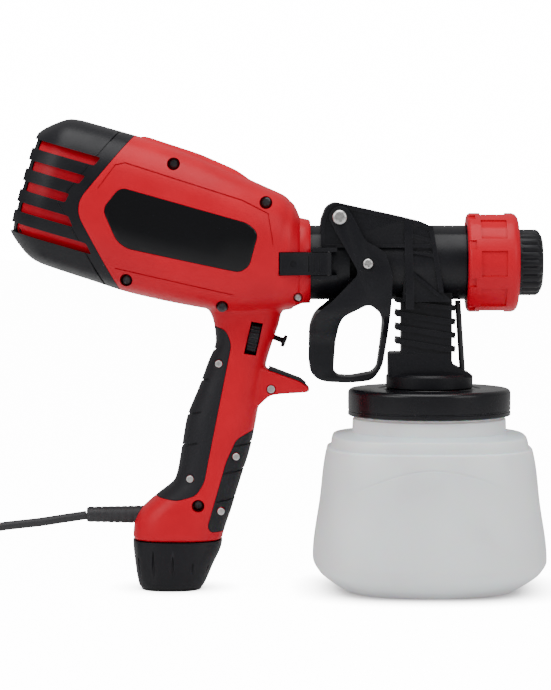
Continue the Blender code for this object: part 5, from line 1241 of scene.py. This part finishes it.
# ---------------------------------------------------------------- paint jar
# Blow-moulded polyethylene jar, milky and slightly see-through, square with rounded sides, and with a
# faint curved line on its front and back.
jar_stations = (
    (0.0000, 0.0460, 2.4), (0.0020, 0.0490, 2.5), (0.0060, 0.0545, 2.8), (0.0110, 0.0600, 3.0),
    (0.0170, 0.0630, 3.0), (0.0480, 0.0592, 3.0), (0.0765, 0.0552, 3.0), (0.0772, 0.0530, 3.0),
    (0.0785, 0.0530, 3.0), (0.0830, 0.0520, 3.0), (0.0846, 0.0440, 2.4), (0.0850, 0.0418, 2.0),
    (0.0925, 0.0414, 2.0), (0.0930, 0.0400, 2.0), (0.1036, 0.0400, 2.0),
)
jar_wall = 0.0020
mouth_wall = 0.0026


def jar_ring(height, inset):
    half, exponent = between(jar_stations, height)
    return ring(Vector((0.0, 0.0, height)), X_AXIS, Y_AXIS, half - inset, half - inset, exponent, 128)


heights = sorted(set(spaced(0.0, 0.0760, 56) + spaced(0.0760, 0.0850, 36) + spaced(0.0850, 0.0936, 12)
                     + [0.1036]))
jar_outside = [jar_ring(height, 0.0) for height in heights]
jar_inside = []
for height in reversed(heights):
    if height >= jar_wall:
        jar_inside.append(jar_ring(height, mouth_wall if height > 0.0835 else jar_wall))
jar = loft(jar_outside + jar_inside)
mark_half = 0.0440
mark_low = 0.0560
mark_rise = 0.0130
mark = [(mark_half * (2.0 * share - 1.0), mark_low + mark_rise * math.sin(math.pi * share))
        for share in spaced(0.0, 1.0, 24)]
arc = groove_along(mark, 0.0012, upright, -FAR, FAR)
cut(arc, loft([jar_ring(height, 0.0004) for height in spaced(0.03, 0.0760, 40)]))
cut(jar, arc)
# the faint white emission is a painted glow that brightens the jar; it is no lamp
milky_with_painted_glow = moulded_material("milky_plastic", (0.93, 0.92, 0.94), (0.96, 0.96, 0.97), 0.33, 500.0, 0.10, 0.3,
                         (("Subsurface Weight", 0.5), ("Subsurface Scale", 0.006),
                          ("Emission Color", (1.0, 0.98, 1.0, 1.0)), ("Emission Strength", 0.10)))
piece(jar, "paint_bottle", milky_with_painted_glow, "paint_jar", ["jar"], edge=0.0, smooth_below=45.0)

# ---------------------------------------------------------------- studio
# A pale floor that runs on past the view, under large soft lights.
floor_builder = bmesh.new()
bmesh.ops.create_grid(floor_builder, x_segments=1, y_segments=1, size=6.0)
floor = made_from(floor_builder, "floor")
floor.data.transform(Matrix.Translation((0.0, 0.0, -0.0001)))
floor_paint = bpy.data.materials.new("floor_paint")
floor_paint.use_nodes = True
floor_tree = floor_paint.node_tree
floor_shader = floor_tree.nodes["Principled BSDF"]
for socket, value in (("Base Color", (0.90, 0.90, 0.90, 1.0)), ("Roughness", 0.28),
                      ("Emission Color", (1.0, 1.0, 1.0, 1.0))):
    floor_shader.inputs[socket].default_value = value
# the floor shines only for the camera, and its glow is dimmed close to the gun as a painted soft shadow
seen_directly = floor_tree.nodes.new("ShaderNodeLightPath").outputs["Is Camera Ray"]
near_contact = add_node(floor_tree, "ShaderNodeAmbientOcclusion", {"Distance": 0.022})
glow_with_painted_shadow = ranged(floor_tree, near_contact.outputs["AO"], 0.15, 0.95, 0.2, 14.0)
floor_tree.links.new(worked_out(floor_tree, "MULTIPLY", seen_directly, glow_with_painted_shadow),
                     floor_shader.inputs["Emission Strength"])
floor.data.materials.append(floor_paint)
world = bpy.data.worlds.new("studio")
world.use_nodes = True
sky = world.node_tree.nodes["Background"]
sky.inputs["Color"].default_value = (1.0, 1.0, 1.0, 1.0)
sky_seen = world.node_tree.nodes.new("ShaderNodeLightPath").outputs["Is Camera Ray"]
world.node_tree.links.new(ranged(world.node_tree, sky_seen, 0.0, 1.0, 0.40, 16.0), sky.inputs["Strength"])
bpy.context.scene.world = world
for name, place, size, power in (("top_light", (-0.1, -0.3, 1.3), 1.2, 16.0),
                                 ("left_light", (-1.3, -0.9, 0.9), 0.9, 8.0),
                                 ("right_light", (1.2, -1.0, 0.8), 0.9, 6.0)):
    light_data = bpy.data.lights.new(name, "AREA")
    light_data.size = size
    light_data.energy = power
    light = bpy.data.objects.new(name, light_data)
    light.location = place
    light.rotation_euler = (aim - light.location).to_track_quat("-Z", "Y").to_euler()
    bpy.context.scene.collection.objects.link(light)
